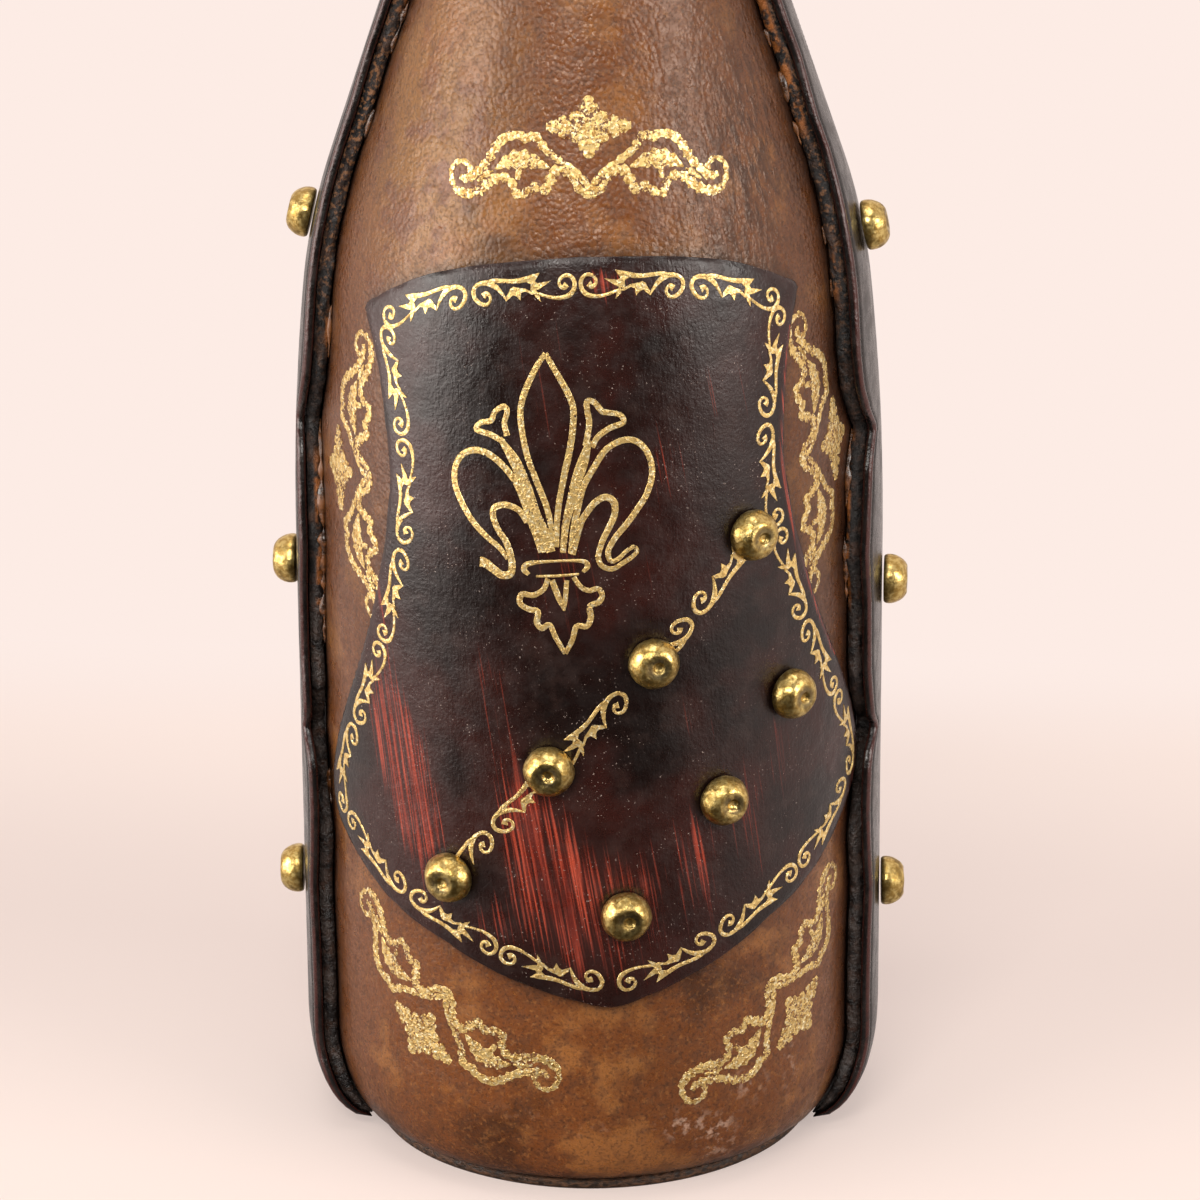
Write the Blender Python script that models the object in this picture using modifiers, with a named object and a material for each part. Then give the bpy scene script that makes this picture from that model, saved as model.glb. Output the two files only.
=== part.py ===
"""A leather-covered carafe: a glass bottle cased in brown leather, with two studded black straps,
a studded shield on its front, a leather sole and neck collar, and a leather-covered stopper.

Lengths are in metres and angles in radians. +Z runs up the bottle's axis from the middle of the sole's
underside, -Y is the front and the straps lie on the X axis.
"""

import math

import bmesh
import bpy
from mathutils import Vector

# Fits and cuts
seat_gap = 0.0003
stud_hole_clearance = 0.0003
cut_overrun = 0.002
merge_distance = 0.00001

# Leather thicknesses
leather_t = 0.0012
pad_t = 0.0022
strap_t = 0.0014
shield_t = 0.0013
sole_t = 0.002

# Glass bottle, from the heel up
body_r = 0.044
glass_wall = 0.003
heel_w = 0.0065
heel_h = 0.0162
bearing_w = 0.0035
punt_h = 0.028
body_straight_h = 0.086
soft_shoulder_r = 0.425
soft_shoulder_lean = math.radians(5.84)
tight_shoulder_r = 0.0963
shoulder_lean = math.radians(18.63)
neck_fillet_r = 0.09
neck_r = 0.0156
neck_lean = math.radians(1.2)
neck_h = 0.0385
lip_ring_w = 0.0023
lip_ring_h = 0.0055
mouth_h = 0.0118
mouth_round = 0.0006
bore_r = 0.0092
bore_h = 0.034
bore_flare_h = 0.022

# Leather panels, which meet under the straps
panel_seam = 0.001
panel_turn_under = 0.0025
panel_top_clearance = 0.001

# Sole
sole_overhang = 0.0008
sole_round = 0.0004

# Straps
strap_half_w = 0.0145
strap_foot_z = 0.0046
strap_skive_h = 0.0075
strap_foot_t = 0.0003
pad_top_taper_h = 0.062
strap_collar_clearance = 0.0004
strap_edge_share = 0.6
strap_lean = math.radians(3.2)
strap_lean_top_z = 0.086
strap_lean_bottom_z = 0.074
low_notch_z = 0.073
high_notch_z = 0.127
pad_width_share = 0.94
pad_notch_z = 0.0685
pad_notch_h = 0.013
pad_notch_share = 0.24

# Half-widths of a strap as shares of strap_half_w, against shares of each run's height
lower_lobe_shares = (
    (0.0, 1.06), (0.09, 1.09), (0.16, 0.95), (0.3, 0.98), (0.45, 0.95), (0.59, 0.87),
    (0.7, 0.98), (0.81, 1.04), (0.92, 1.0), (0.97, 0.88), (1.0, 0.58),
)
middle_lobe_shares = (
    (0.06, 0.8), (0.14, 0.84), (0.28, 0.85), (0.46, 0.87), (0.63, 0.98), (0.78, 0.89),
    (0.91, 0.78), (0.97, 0.62), (1.0, 0.48),
)
upper_run_shares = (
    (0.03, 0.78), (0.065, 0.97), (0.107, 1.0), (0.145, 0.95), (0.18, 0.89), (0.24, 0.8), (0.29, 0.68),
    (0.33, 0.58), (0.37, 0.59), (0.41, 0.5), (0.44, 0.43), (0.48, 0.46), (0.53, 0.46), (0.64, 0.43),
    (0.82, 0.38), (1.0, 0.36),
)

# Shield
shield_wrap_r = 0.047
shield_turn = math.radians(5.4)
shield_tilt = math.radians(2.25)
shield_z = 0.1
shield_half_w = 0.0584
shield_top_h = 0.0666
shield_bottom_h = 0.0622
shield_edge_w = 0.0012
shield_edge_share = 0.55

# Shield outline, across as shares of shield_half_w and up or down as shares of its top or bottom height
shield_side_shares = (
    (0.757, 0.83), (0.722, 0.78), (0.69, 0.728), (0.661, 0.646), (0.637, 0.548), (0.625, 0.473),
    (0.623, 0.413), (0.635, 0.326), (0.656, 0.237), (0.685, 0.146), (0.731, 0.033), (0.789, -0.082),
    (0.861, -0.203), (0.933, -0.318), (0.985, -0.42), (1.0, -0.48), (0.993, -0.54), (0.962, -0.585),
)
shield_bottom_shares = (
    (0.962, -0.585), (0.851, -0.659), (0.745, -0.724), (0.639, -0.775), (0.522, -0.82), (0.409, -0.867),
    (0.291, -0.915), (0.171, -0.954), (0.051, -0.989), (0.0, -1.0),
)
shield_top_shares = (
    (0.757, 0.83), (0.728, 0.853), (0.531, 0.932), (0.36, 0.971), (0.188, 0.991), (0.0, 1.0),
)

# Brass studs
stud_r = 0.0043
stud_h = 0.004
stud_shank_r = 0.0011

# Stud heads, outwards as shares of stud_r and upwards as shares of stud_h
stud_head_shares = (
    (0.0, 0.9), (0.26, 0.94), (0.5, 1.0), (0.78, 0.83), (0.95, 0.52), (1.0, 0.24), (0.94, 0.0),
)

# Where the studs sit on the flat shield, as shares of its half-width and of its top or bottom height
shield_stud_shares = (
    (0.473, 0.272), (0.16, -0.009), (-0.142, -0.297), (-0.455, -0.628), (0.592, -0.192), (0.347, -0.434),
    (0.05, -0.723),
)

# Heights of the studs on the two straps, which were set by eye
left_stud_heights = (0.0431, 0.0994, 0.1598)
right_stud_heights = (0.0408, 0.0978, 0.1591)

# Neck collar
collar_h = 0.016
collar_t = 0.0017
collar_roll = 0.0007
collar_step_share = 3

# Stopper
cork_in = 0.024
cork_taper = 0.0006
cork_chamfer = 0.0012
dowel_r = 0.0025
dowel_in = 0.016
stopper_washer_r = 0.0158
stopper_washer_t = 0.0016
washer_edge_share = 1 / 3
stopper_core_r = 0.0145
stopper_core_h = 0.024
stopper_cover_t = 0.0012

# Half profile of the stopper's core, outwards and upwards as shares of its radius and height
stopper_core_shares = (
    (0.34, 1.0), (0.72, 0.9), (0.94, 0.7), (1.0, 0.45), (0.94, 0.22), (0.82, 0.06), (0.78, 0.0),
)

# Facets
glass_segments = 28
panel_columns = 16
heel_steps = 5
arc_steps = 3
fillet_steps = 3
shield_columns = 16
shield_rows = 14
stud_segments = 12
hole_segments = 8
ring_segments = 24
edge_steps = 12
punt_shares = (1.0, 0.8, 0.55, 0.3, 0.0)
inner_heel_share = 2 / 3
strap_row_share = 0.125
strap_column_shares = (-1.0, -0.84, -0.3, 0.3, 0.84, 1.0)
pad_column_shares = (-1.0, -0.33, 0.33, 1.0)

quarter_turn = math.pi / 2

# Heights and radii of the bottle's line, worked out from its sizes
glass_base_z = sole_t + seat_gap + leather_t + seat_gap
heel_top_z = glass_base_z + heel_h
body_top_z = heel_top_z + body_straight_h
soft_top_z = body_top_z + soft_shoulder_r * math.sin(soft_shoulder_lean)
soft_top_r = body_r - soft_shoulder_r * (1 - math.cos(soft_shoulder_lean))
tight_top_z = soft_top_z + tight_shoulder_r * (math.sin(shoulder_lean) - math.sin(soft_shoulder_lean))
tight_top_r = soft_top_r - tight_shoulder_r * (math.cos(soft_shoulder_lean) - math.cos(shoulder_lean))
cone_top_r = neck_r + neck_fillet_r * (math.cos(neck_lean) - math.cos(shoulder_lean))
cone_top_z = tight_top_z + (tight_top_r - cone_top_r) / math.tan(shoulder_lean)
neck_foot_z = cone_top_z + neck_fillet_r * (math.sin(shoulder_lean) - math.sin(neck_lean))
neck_top_z = neck_foot_z + neck_h
mouth_z = neck_top_z + lip_ring_h + mouth_h

# How far each layer stands off the glass, measured along the surface's own normal
panel_lift = seat_gap
casing_lift = panel_lift + leather_t
pad_lift = casing_lift + seat_gap
strap_lift = pad_lift + pad_t + seat_gap
strap_top_lift = strap_lift + strap_t
shield_lift = casing_lift + seat_gap
shield_top_lift = shield_lift + shield_t

collar_top_z = neck_top_z - seat_gap
collar_foot_z = collar_top_z - collar_h
panel_top_z = collar_top_z - panel_top_clearance
strap_top_z = collar_foot_z - strap_collar_clearance


def glass_at(z):
    """Radius of the glass at height z, and the lean of its outward normal above level."""
    if z < heel_top_z:
        down = min((heel_top_z - z) / heel_h, 1)
        out = math.sqrt(1 - down * down)
        return body_r - heel_w + heel_w * out, -math.atan2(down * heel_w, out * heel_h)
    if z < body_top_z:
        return body_r, 0
    if z < soft_top_z:
        lean = math.asin((z - body_top_z) / soft_shoulder_r)
        return body_r - soft_shoulder_r * (1 - math.cos(lean)), lean
    if z < tight_top_z:
        lean = math.asin(math.sin(soft_shoulder_lean) + (z - soft_top_z) / tight_shoulder_r)
        return soft_top_r - tight_shoulder_r * (math.cos(soft_shoulder_lean) - math.cos(lean)), lean
    if z < cone_top_z:
        return tight_top_r - (z - tight_top_z) * math.tan(shoulder_lean), shoulder_lean
    if z < neck_foot_z:
        lean = math.asin(math.sin(shoulder_lean) - (z - cone_top_z) / neck_fillet_r)
        return cone_top_r - neck_fillet_r * (math.cos(lean) - math.cos(shoulder_lean)), lean
    return neck_r - (z - neck_foot_z) * math.tan(neck_lean), neck_lean


def lifted(z, lift):
    """Radius and height of the point that stands lift off the glass at height z."""
    r, lean = glass_at(z)
    return r + lift * math.cos(lean), z + lift * math.sin(lean)


def skin_point(turn, z, lift):
    """Point lift off the glass at height z, turned from the front towards +X."""
    r, up = lifted(z, lift)
    return Vector((r * math.sin(turn), -r * math.cos(turn), up))


def line_heights(low, high):
    """Heights between low and high at which the bottle's line is sampled, closest where it bends."""
    heel_turns = [quarter_turn * i / heel_steps for i in range(heel_steps, 0, -1)]
    heights = [heel_top_z - heel_h * math.sin(turn) for turn in heel_turns]
    for start, end, steps in (
        (heel_top_z, body_top_z, 1),
        (body_top_z, soft_top_z, arc_steps),
        (soft_top_z, tight_top_z, arc_steps),
        (tight_top_z, cone_top_z, 1),
        (cone_top_z, neck_foot_z, fillet_steps),
        (neck_foot_z, neck_top_z, 1),
    ):
        heights += [start + (end - start) * i / steps for i in range(steps)]
    inside = [z for z in heights if low + merge_distance < z < high - merge_distance]
    return [low, *inside, high]


def table_at(table, share):
    """Value read from a table of (share, value) pairs by straight lines between them."""
    for (share_a, value_a), (share_b, value_b) in zip(table, table[1:]):
        if share <= share_b:
            return value_a + (value_b - value_a) * (share - share_a) / (share_b - share_a)
    return table[-1][1]


def finish(name, colour, roughness, metallic=0.0):
    """A Principled material of one colour."""
    material = bpy.data.materials.new(name)
    material.use_nodes = True
    shader = material.node_tree.nodes["Principled BSDF"]
    shader.inputs["Base Color"].default_value = (*colour, 1.0)
    shader.inputs["Roughness"].default_value = roughness
    shader.inputs["Metallic"].default_value = metallic
    return material


def new_object(name, mesh, material, folder):
    """Links a mesh as a named object in a collection, with its material."""
    item = bpy.data.objects.new(name, mesh)
    folder.objects.link(item)
    if material:
        mesh.materials.append(material)
    return item


def wrapped_sheet(name, columns, rows, place, thickness, material, folder, weight=None):
    """A sheet of columns by rows cells laid by place(column, row) and thickened outwards.

    weight(column, row) gives the share of the thickness left at each point.
    """
    shape = bmesh.new()
    bmesh.ops.create_grid(shape, x_segments=columns, y_segments=rows, size=1)
    spots = []
    for vertex in shape.verts:
        column = round((vertex.co.x + 1) / 2 * columns)
        row = round((vertex.co.y + 1) / 2 * rows)
        spots.append((column, row))
        vertex.co = place(column, row)
    mesh = bpy.data.meshes.new(name)
    shape.to_mesh(mesh)
    shape.free()
    mesh.shade_smooth()
    sheet = new_object(name, mesh, material, folder)
    thicken = sheet.modifiers.new("thickness", "SOLIDIFY")
    thicken.thickness = thickness
    thicken.offset = 1
    thicken.use_even_offset = True
    if weight:
        group = sheet.vertex_groups.new(name="thickness")
        for index, (column, row) in enumerate(spots):
            group.add([index], weight(column, row), "REPLACE")
        thicken.vertex_group = group.name
    return sheet


def turned(name, profile, closed, segments, material, folder):
    """A profile of (radius, height) points turned about the object's own Z axis."""
    mesh = bpy.data.meshes.new(name)
    edges = [(i, i + 1) for i in range(len(profile) - 1)]
    if closed:
        edges.append((len(profile) - 1, 0))
    mesh.from_pydata([(r, 0, z) for r, z in profile], edges, [])
    piece = new_object(name, mesh, material, folder)
    screw = piece.modifiers.new("turn", "SCREW")
    screw.axis = "Z"
    screw.steps = segments
    screw.render_steps = segments
    screw.use_merge_vertices = True
    screw.merge_threshold = merge_distance
    screw.use_smooth_shade = True
    return piece


def face_out(piece, turn, z, lift):
    """Puts a turned piece on the covering, with its own Z axis along the surface's outward normal."""
    lean = glass_at(z)[1]
    piece.location = skin_point(turn, z, lift)
    piece.rotation_euler = (quarter_turn - lean, 0, turn)


def cut(piece, cutter):
    """Takes the cutter's shape out of a piece."""
    boolean = piece.modifiers.new("cut_" + cutter.name, "BOOLEAN")
    boolean.operation = "DIFFERENCE"
    boolean.solver = "EXACT"
    boolean.object = cutter


def hole_cutter(name, turn, z, low_lift, high_lift, folder):
    """A round cutter for one stud's shank, running past both faces of what it cuts."""
    low = -cut_overrun
    high = high_lift - low_lift + cut_overrun
    hole_r = stud_shank_r + stud_hole_clearance
    profile = [(0, high), (hole_r, high), (hole_r, low), (0, low)]
    cutter = turned(name, profile, False, hole_segments, None, folder)
    cutter.hide_render = True
    cutter.display_type = "WIRE"
    face_out(cutter, turn, z, low_lift)
    return cutter


def bottle_outside():
    """Outer side of the glass, from the lip down to the middle of the punt."""
    mouth_r = glass_at(neck_top_z)[0]
    ring_r = mouth_r + lip_ring_w
    ring_mid_z = neck_top_z + lip_ring_h / 2
    points = [
        (mouth_r - mouth_round, mouth_z),
        (mouth_r, mouth_z - mouth_round),
        (mouth_r, neck_top_z + lip_ring_h),
        (ring_r, ring_mid_z + lip_ring_h / 4),
        (ring_r, ring_mid_z - lip_ring_h / 4),
    ]
    points += [(glass_at(z)[0], z) for z in reversed(line_heights(glass_base_z, neck_top_z))]
    return points + punt_line(0)


def punt_line(lift, first=0):
    """The punt's dome, from the bearing ring in to the axis, lift above its underside."""
    ring_r = body_r - heel_w - bearing_w
    foot_z = glass_base_z + lift
    return [(ring_r * share, foot_z + punt_h * (1 - share * share)) for share in punt_shares[first:]]


def bottle_inside():
    """Inner side of the glass, from the middle of the punt up to the mouth."""
    bore_foot_z = mouth_z - bore_h
    flare_foot_z = bore_foot_z - bore_flare_h
    heel_low_z = heel_top_z - heel_h * math.sin(quarter_turn * inner_heel_share)
    wall = [lifted(z, -glass_wall) for z in line_heights(heel_low_z, flare_foot_z)]
    floor = list(reversed(punt_line(glass_wall, first=1)))
    bore = [(bore_r, bore_foot_z), (bore_r, mouth_z - mouth_round), (bore_r + mouth_round, mouth_z)]
    return floor + wall + bore


def build_bottle(look, folder):
    """The glass bottle, one turned wall open at the mouth, with a punt under it."""
    turned("glass_bottle", bottle_inside() + bottle_outside(), False, glass_segments, look, folder)


def build_panel(name, middle_turn, look, folder):
    """Half of the brown casing, from its edge turned under the heel up to the collar."""
    ring_r, ring_lean = glass_at(glass_base_z)
    line = [(ring_r - panel_turn_under, glass_base_z, ring_lean)]
    line += [(glass_at(z)[0], z, glass_at(z)[1]) for z in line_heights(glass_base_z, panel_top_z)]

    def place(column, row):
        r, z, lean = line[row]
        half_turn = quarter_turn - panel_seam / 2 / r
        turn = middle_turn + half_turn * (2 * column / panel_columns - 1)
        out = r + panel_lift * math.cos(lean)
        return Vector((out * math.sin(turn), -out * math.cos(turn), z + panel_lift * math.sin(lean)))

    wrapped_sheet(name, panel_columns, len(line) - 1, place, leather_t, look, folder)


def strap_line():
    """Heights and half-widths along a strap, from its foot up to the collar."""
    runs = (
        (strap_foot_z, low_notch_z, lower_lobe_shares),
        (low_notch_z, high_notch_z, middle_lobe_shares),
        (high_notch_z, strap_top_z, upper_run_shares),
    )
    outline = []
    for low, high, table in runs:
        outline += [(low + (high - low) * up, strap_half_w * wide) for up, wide in table]
    bends = line_heights(strap_foot_z, strap_top_z)
    near = strap_half_w * strap_row_share
    kept = [
        (z, half_w) for z, half_w in outline
        if z > heel_top_z and all(abs(z - bend) > near for bend in bends)
    ]
    return sorted(kept + [(z, table_at(outline, z)) for z in bends])


def strap_lean_at(z):
    """How far a strap's middle line is turned at height z: its lower end was laid a little askew."""
    share = (strap_lean_top_z - z) / (strap_lean_top_z - strap_lean_bottom_z)
    return strap_lean * min(max(share, 0), 1)


def pad_share_at(z):
    """Share of the strap's width that its pad has at height z: it is cut back beside the shield's corner."""
    near = max(1 - abs(z - pad_notch_z) / pad_notch_h, 0)
    return pad_width_share - pad_notch_share * min(2 * near, 1)


def skive_at(z, full):
    """Thickness of a strap layer at height z, pared down towards the foot."""
    share = min(max((z - strap_foot_z) / strap_skive_h, 0), 1)
    return strap_foot_t + (full - strap_foot_t) * math.sqrt(share * (2 - share))


def pad_t_at(z):
    """Thickness of a strap's pad at height z, pared down towards the foot and up the neck."""
    share = min((strap_top_z - z) / pad_top_taper_h, 1)
    return min(skive_at(z, pad_t), strap_foot_t + (pad_t - strap_foot_t) * share)


def build_strap(side, side_turn, stud_heights, looks, folder, cutters):
    """One strap: its thick pad, its glossy cover and the studs that go through both."""
    line = strap_line()
    holes = []
    for number, z in enumerate(stud_heights, 1):
        turn = side_turn + strap_lean_at(z)
        hole = hole_cutter(f"{side}_strap_hole_{number}", turn, z, casing_lift, strap_top_lift, cutters)
        holes.append(hole)
        build_stud(f"{side}_strap_stud_{number}", turn, z, strap_top_lift, looks["brass"], folder)

    def point(z, half_w, share, lift):
        r = lifted(z, lift)[0]
        return skin_point(side_turn + strap_lean_at(z) + half_w * share / r, z, lift)

    def place_pad(column, row):
        z, half_w = line[row]
        return point(z, half_w * pad_share_at(z), pad_column_shares[column], pad_lift)

    def place_cover(column, row):
        z, half_w = line[row]
        lift = pad_lift + pad_t_at(z) + seat_gap
        return point(z, half_w, strap_column_shares[column], lift)

    def pad_weight(column, row):
        return pad_t_at(line[row][0]) / pad_t

    def cover_weight(column, row):
        edge = strap_edge_share if abs(strap_column_shares[column]) == 1 else 1
        return edge * skive_at(line[row][0], strap_t) / strap_t

    rows = len(line) - 1
    pad = wrapped_sheet(
        f"{side}_strap_pad", len(pad_column_shares) - 1, rows,
        place_pad, pad_t, looks["pad"], folder, pad_weight,
    )
    cover = wrapped_sheet(
        f"{side}_strap", len(strap_column_shares) - 1, rows,
        place_cover, strap_t, looks["strap"], folder, cover_weight,
    )
    for hole in holes:
        cut(pad, hole)
        cut(cover, hole)


def smooth_line(points, shares):
    """Points at the given shares of the length of a smooth curve through the given points."""
    first = points[0] * 2 - points[1]
    last = points[-1] * 2 - points[-2]
    guides = [first, *points, last]
    fine = []
    for before, start, end, after in zip(guides, guides[1:], guides[2:], guides[3:]):
        for step in range(edge_steps):
            t = step / edge_steps
            bend = start * 2 + (end - before) * t + (before * 2 - start * 5 + end * 4 - after) * t * t
            fine.append((bend + (start * 3 - before - end * 3 + after) * t**3) / 2)
    fine.append(points[-1])
    lengths = [0]
    for start, end in zip(fine, fine[1:]):
        lengths.append(lengths[-1] + (end - start).length)
    table = list(zip(lengths, fine))
    return [table_at(table, lengths[-1] * share) for share in shares]


def shield_flat(across, up):
    """Flat point of the shield at shares of its half-width and of its top or bottom height."""
    return Vector((across * shield_half_w, up * (shield_top_h if up > 0 else shield_bottom_h)))


def shield_wrapped(flat):
    """Turn and height on the bottle of a flat point of the shield."""
    around = flat.x * math.cos(shield_tilt) - flat.y * math.sin(shield_tilt)
    up = flat.x * math.sin(shield_tilt) + flat.y * math.cos(shield_tilt)
    return shield_turn + around / shield_wrap_r, shield_z + up


def shield_edge(outline, shares, side):
    """Points of one edge of the flat shield at the given shares of its length, on one side of its axis."""
    return smooth_line([shield_flat(side * across, up) for across, up in outline], shares)


def rimmed_shares(cells, rim):
    """Shares from 0 to 1 that bound cells, the first and last only rim wide and the others alike."""
    inner = cells - 2
    return [0, *(rim + (1 - 2 * rim) * i / inner for i in range(inner + 1)), 1]


def shield_grid():
    """Flat points of the shield by (column, row), blended between its four edges."""
    across = rimmed_shares(shield_columns, shield_edge_w / (2 * shield_half_w))
    upward = rimmed_shares(shield_rows, shield_edge_w / (shield_top_h + shield_bottom_h))
    half = shield_columns // 2
    out = [1 - 2 * u for u in across[:half + 1]]
    from_corner = [1 - share for share in out]
    left = shield_edge(shield_side_shares, upward, -1)[::-1]
    right = shield_edge(shield_side_shares, upward, 1)[::-1]
    top = shield_edge(shield_top_shares, from_corner, -1)
    top += shield_edge(shield_top_shares, from_corner, 1)[-2::-1]
    bottom = shield_edge(shield_bottom_shares, from_corner, -1)
    bottom += shield_edge(shield_bottom_shares, from_corner, 1)[-2::-1]
    grid = {}
    for column, u in enumerate(across):
        for row, v in enumerate(upward):
            sides = left[row] * (1 - u) + right[row] * u
            ends = bottom[column] * (1 - v) + top[column] * v
            low = left[0] * (1 - u) + right[0] * u
            high = left[-1] * (1 - u) + right[-1] * u
            grid[column, row] = sides + ends - low * (1 - v) - high * v
    return grid


def build_shield(looks, folder, cutters):
    """The shield: a leather plate with pared edges, wrapped on the casing and studded."""
    grid = shield_grid()

    def place(column, row):
        turn, z = shield_wrapped(grid[column, row])
        return skin_point(turn, z, shield_lift)

    def weight(column, row):
        on_edge = column in (0, shield_columns) or row in (0, shield_rows)
        return shield_edge_share if on_edge else 1

    shield = wrapped_sheet(
        "shield", shield_columns, shield_rows, place, shield_t, looks["shield"], folder, weight
    )
    for number, (across, up) in enumerate(shield_stud_shares, 1):
        turn, z = shield_wrapped(shield_flat(across, up))
        cut(shield, hole_cutter(f"shield_hole_{number}", turn, z, casing_lift, shield_top_lift, cutters))
        build_stud(f"shield_stud_{number}", turn, z, shield_top_lift, looks["brass"], folder)


def build_stud(name, turn, z, seat_lift, look, folder):
    """A domed brass stud with a dimple in its head and a shank that ends on the casing."""
    foot = -(seat_lift - casing_lift)
    head = [(stud_r * out, stud_h * up) for out, up in stud_head_shares]
    shank = [(stud_shank_r, head[-1][1]), (stud_shank_r, foot), (0, foot)]
    stud = turned(name, head + shank, False, stud_segments, look, folder)
    face_out(stud, turn, z, seat_lift + seat_gap)


def build_sole(look, folder):
    """The leather disc that the carafe stands on."""
    r = body_r - heel_w + sole_overhang
    profile = [
        (0, sole_t), (r - sole_round, sole_t), (r, sole_t - sole_round),
        (r, sole_round), (r - sole_round, 0), (0, 0),
    ]
    turned("sole", profile, False, glass_segments, look, folder)


def build_collar(look, folder):
    """The leather band round the neck, thicker at its rolled edges."""
    inner = casing_lift + seat_gap
    outer = inner + collar_t
    rolled = outer + collar_roll
    top_in = lifted(collar_top_z, inner)[0]
    foot_in = lifted(collar_foot_z, inner)[0]
    step = collar_roll * collar_step_share
    profile = [
        (top_in, collar_top_z),
        (lifted(collar_top_z, outer)[0], collar_top_z),
        (lifted(collar_top_z, rolled)[0], collar_top_z - collar_roll),
        (lifted(collar_top_z, rolled)[0], collar_top_z - collar_roll * 2),
        (lifted(collar_top_z, outer)[0], collar_top_z - step),
        (lifted(collar_foot_z, outer)[0], collar_foot_z + step),
        (lifted(collar_foot_z, rolled)[0], collar_foot_z + collar_roll * 2),
        (lifted(collar_foot_z, rolled)[0], collar_foot_z + collar_roll),
        (lifted(collar_foot_z, outer)[0], collar_foot_z),
        (foot_in, collar_foot_z),
    ]
    turned("neck_collar", profile, True, ring_segments, look, folder)


def build_stopper(looks, folder):
    """The stopper: a cork and a leather-covered wooden knob on one dowel, with a washer between."""
    cork_r = bore_r - seat_gap
    cork_foot_z = mouth_z - cork_in
    washer_z = mouth_z + seat_gap
    core_z = washer_z + stopper_washer_t + seat_gap
    dowel_hole_r = dowel_r + seat_gap
    dowel_low_z = mouth_z - dowel_in
    dowel_high_z = core_z + dowel_in

    cork = [
        (dowel_hole_r, mouth_z), (cork_r, mouth_z), (cork_r - cork_taper, cork_foot_z + cork_chamfer),
        (cork_r - cork_taper - cork_chamfer, cork_foot_z), (0, cork_foot_z),
        (0, dowel_low_z - seat_gap), (dowel_hole_r, dowel_low_z - seat_gap),
    ]
    turned("stopper_cork", cork, True, ring_segments, looks["cork"], folder)

    dowel = [(0, dowel_high_z), (dowel_r, dowel_high_z), (dowel_r, dowel_low_z), (0, dowel_low_z)]
    turned("stopper_dowel", dowel, False, hole_segments, looks["wood"], folder)

    washer_top_z = washer_z + stopper_washer_t
    edge = stopper_washer_t * washer_edge_share
    washer = [
        (dowel_hole_r, washer_top_z), (stopper_washer_r - edge, washer_top_z),
        (stopper_washer_r, washer_top_z - edge), (stopper_washer_r, washer_z + edge),
        (stopper_washer_r - edge, washer_z), (dowel_hole_r, washer_z),
    ]
    turned("stopper_washer", washer, True, ring_segments, looks["strap"], folder)

    core_side = [(stopper_core_r * out, core_z + stopper_core_h * up) for out, up in stopper_core_shares]
    core_top_z = core_z + stopper_core_h
    core = [
        (0, core_top_z), *core_side, (dowel_hole_r, core_z),
        (dowel_hole_r, dowel_high_z + seat_gap), (0, dowel_high_z + seat_gap),
    ]
    turned("stopper_core", core, False, ring_segments, looks["wood"], folder)

    cover_side = offset_line(core_side[:-1], seat_gap)
    skin = offset_line(core_side[:-1], seat_gap + stopper_cover_t)
    hole_r = stud_shank_r + stud_hole_clearance
    top_low_z = core_top_z + seat_gap
    top_high_z = top_low_z + stopper_cover_t
    cover = [(hole_r, top_high_z), *skin, *reversed(cover_side), (hole_r, top_low_z)]
    turned("stopper_cover", cover, True, ring_segments, looks["leather"], folder)

    head = [(stud_r * out, stud_h * up) for out, up in stud_head_shares]
    foot = -stopper_cover_t
    stud = turned(
        "stopper_stud", head + [(stud_shank_r, 0), (stud_shank_r, foot), (0, foot)],
        False, stud_segments, looks["brass"], folder,
    )
    stud.location = (0, 0, top_high_z + seat_gap)


def offset_line(points, distance):
    """A profile moved outwards by distance, square to its own run."""
    moved = []
    for before, here, after in zip([points[0], *points], points, [*points[1:], points[-1]]):
        run = Vector((after[0] - before[0], after[1] - before[1])).normalized()
        moved.append((here[0] - run.y * distance, here[1] + run.x * distance))
    return moved


def main():
    for item in list(bpy.data.objects):
        bpy.data.objects.remove(item)
    folder = bpy.data.collections.new("leather_covered_carafe")
    cutters = bpy.data.collections.new("cutters")
    bpy.context.scene.collection.children.link(folder)
    bpy.context.scene.collection.children.link(cutters)
    looks = {
        "glass": finish("green_glass", (0.03, 0.07, 0.03), 0.05),
        "leather": finish("brown_calf_leather", (0.19, 0.08, 0.03), 0.5),
        "strap": finish("glossy_black_leather", (0.012, 0.009, 0.008), 0.28),
        "pad": finish("rough_black_leather", (0.02, 0.013, 0.01), 0.8),
        "shield": finish("lacquered_leather", (0.03, 0.01, 0.008), 0.35),
        "sole": finish("sole_leather", (0.1, 0.05, 0.025), 0.6),
        "brass": finish("aged_brass", (0.45, 0.28, 0.07), 0.35, 1.0),
        "cork": finish("cork", (0.5, 0.33, 0.18), 0.85),
        "wood": finish("beech", (0.45, 0.28, 0.14), 0.6),
    }
    build_bottle(looks["glass"], folder)
    build_panel("front_panel", 0, looks["leather"], folder)
    build_panel("back_panel", math.pi, looks["leather"], folder)
    build_strap("left", -quarter_turn, left_stud_heights, looks, folder, cutters)
    build_strap("right", quarter_turn, right_stud_heights, looks, folder, cutters)
    build_shield(looks, folder, cutters)
    build_sole(looks["sole"], folder)
    build_collar(looks["strap"], folder)
    build_stopper(looks, folder)


main()
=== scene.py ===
"""Looks of a leather-covered carafe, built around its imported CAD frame.

A glass bottle is cased in brown calf, with two studded black straps, a lacquered shield tooled in gilt, a
leather sole and collar, and a leather-covered stopper. Lengths are in millimetres until a mesh is made,
and angles are in radians. +Z runs up the bottle's axis and -Y is the front.
"""

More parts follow.
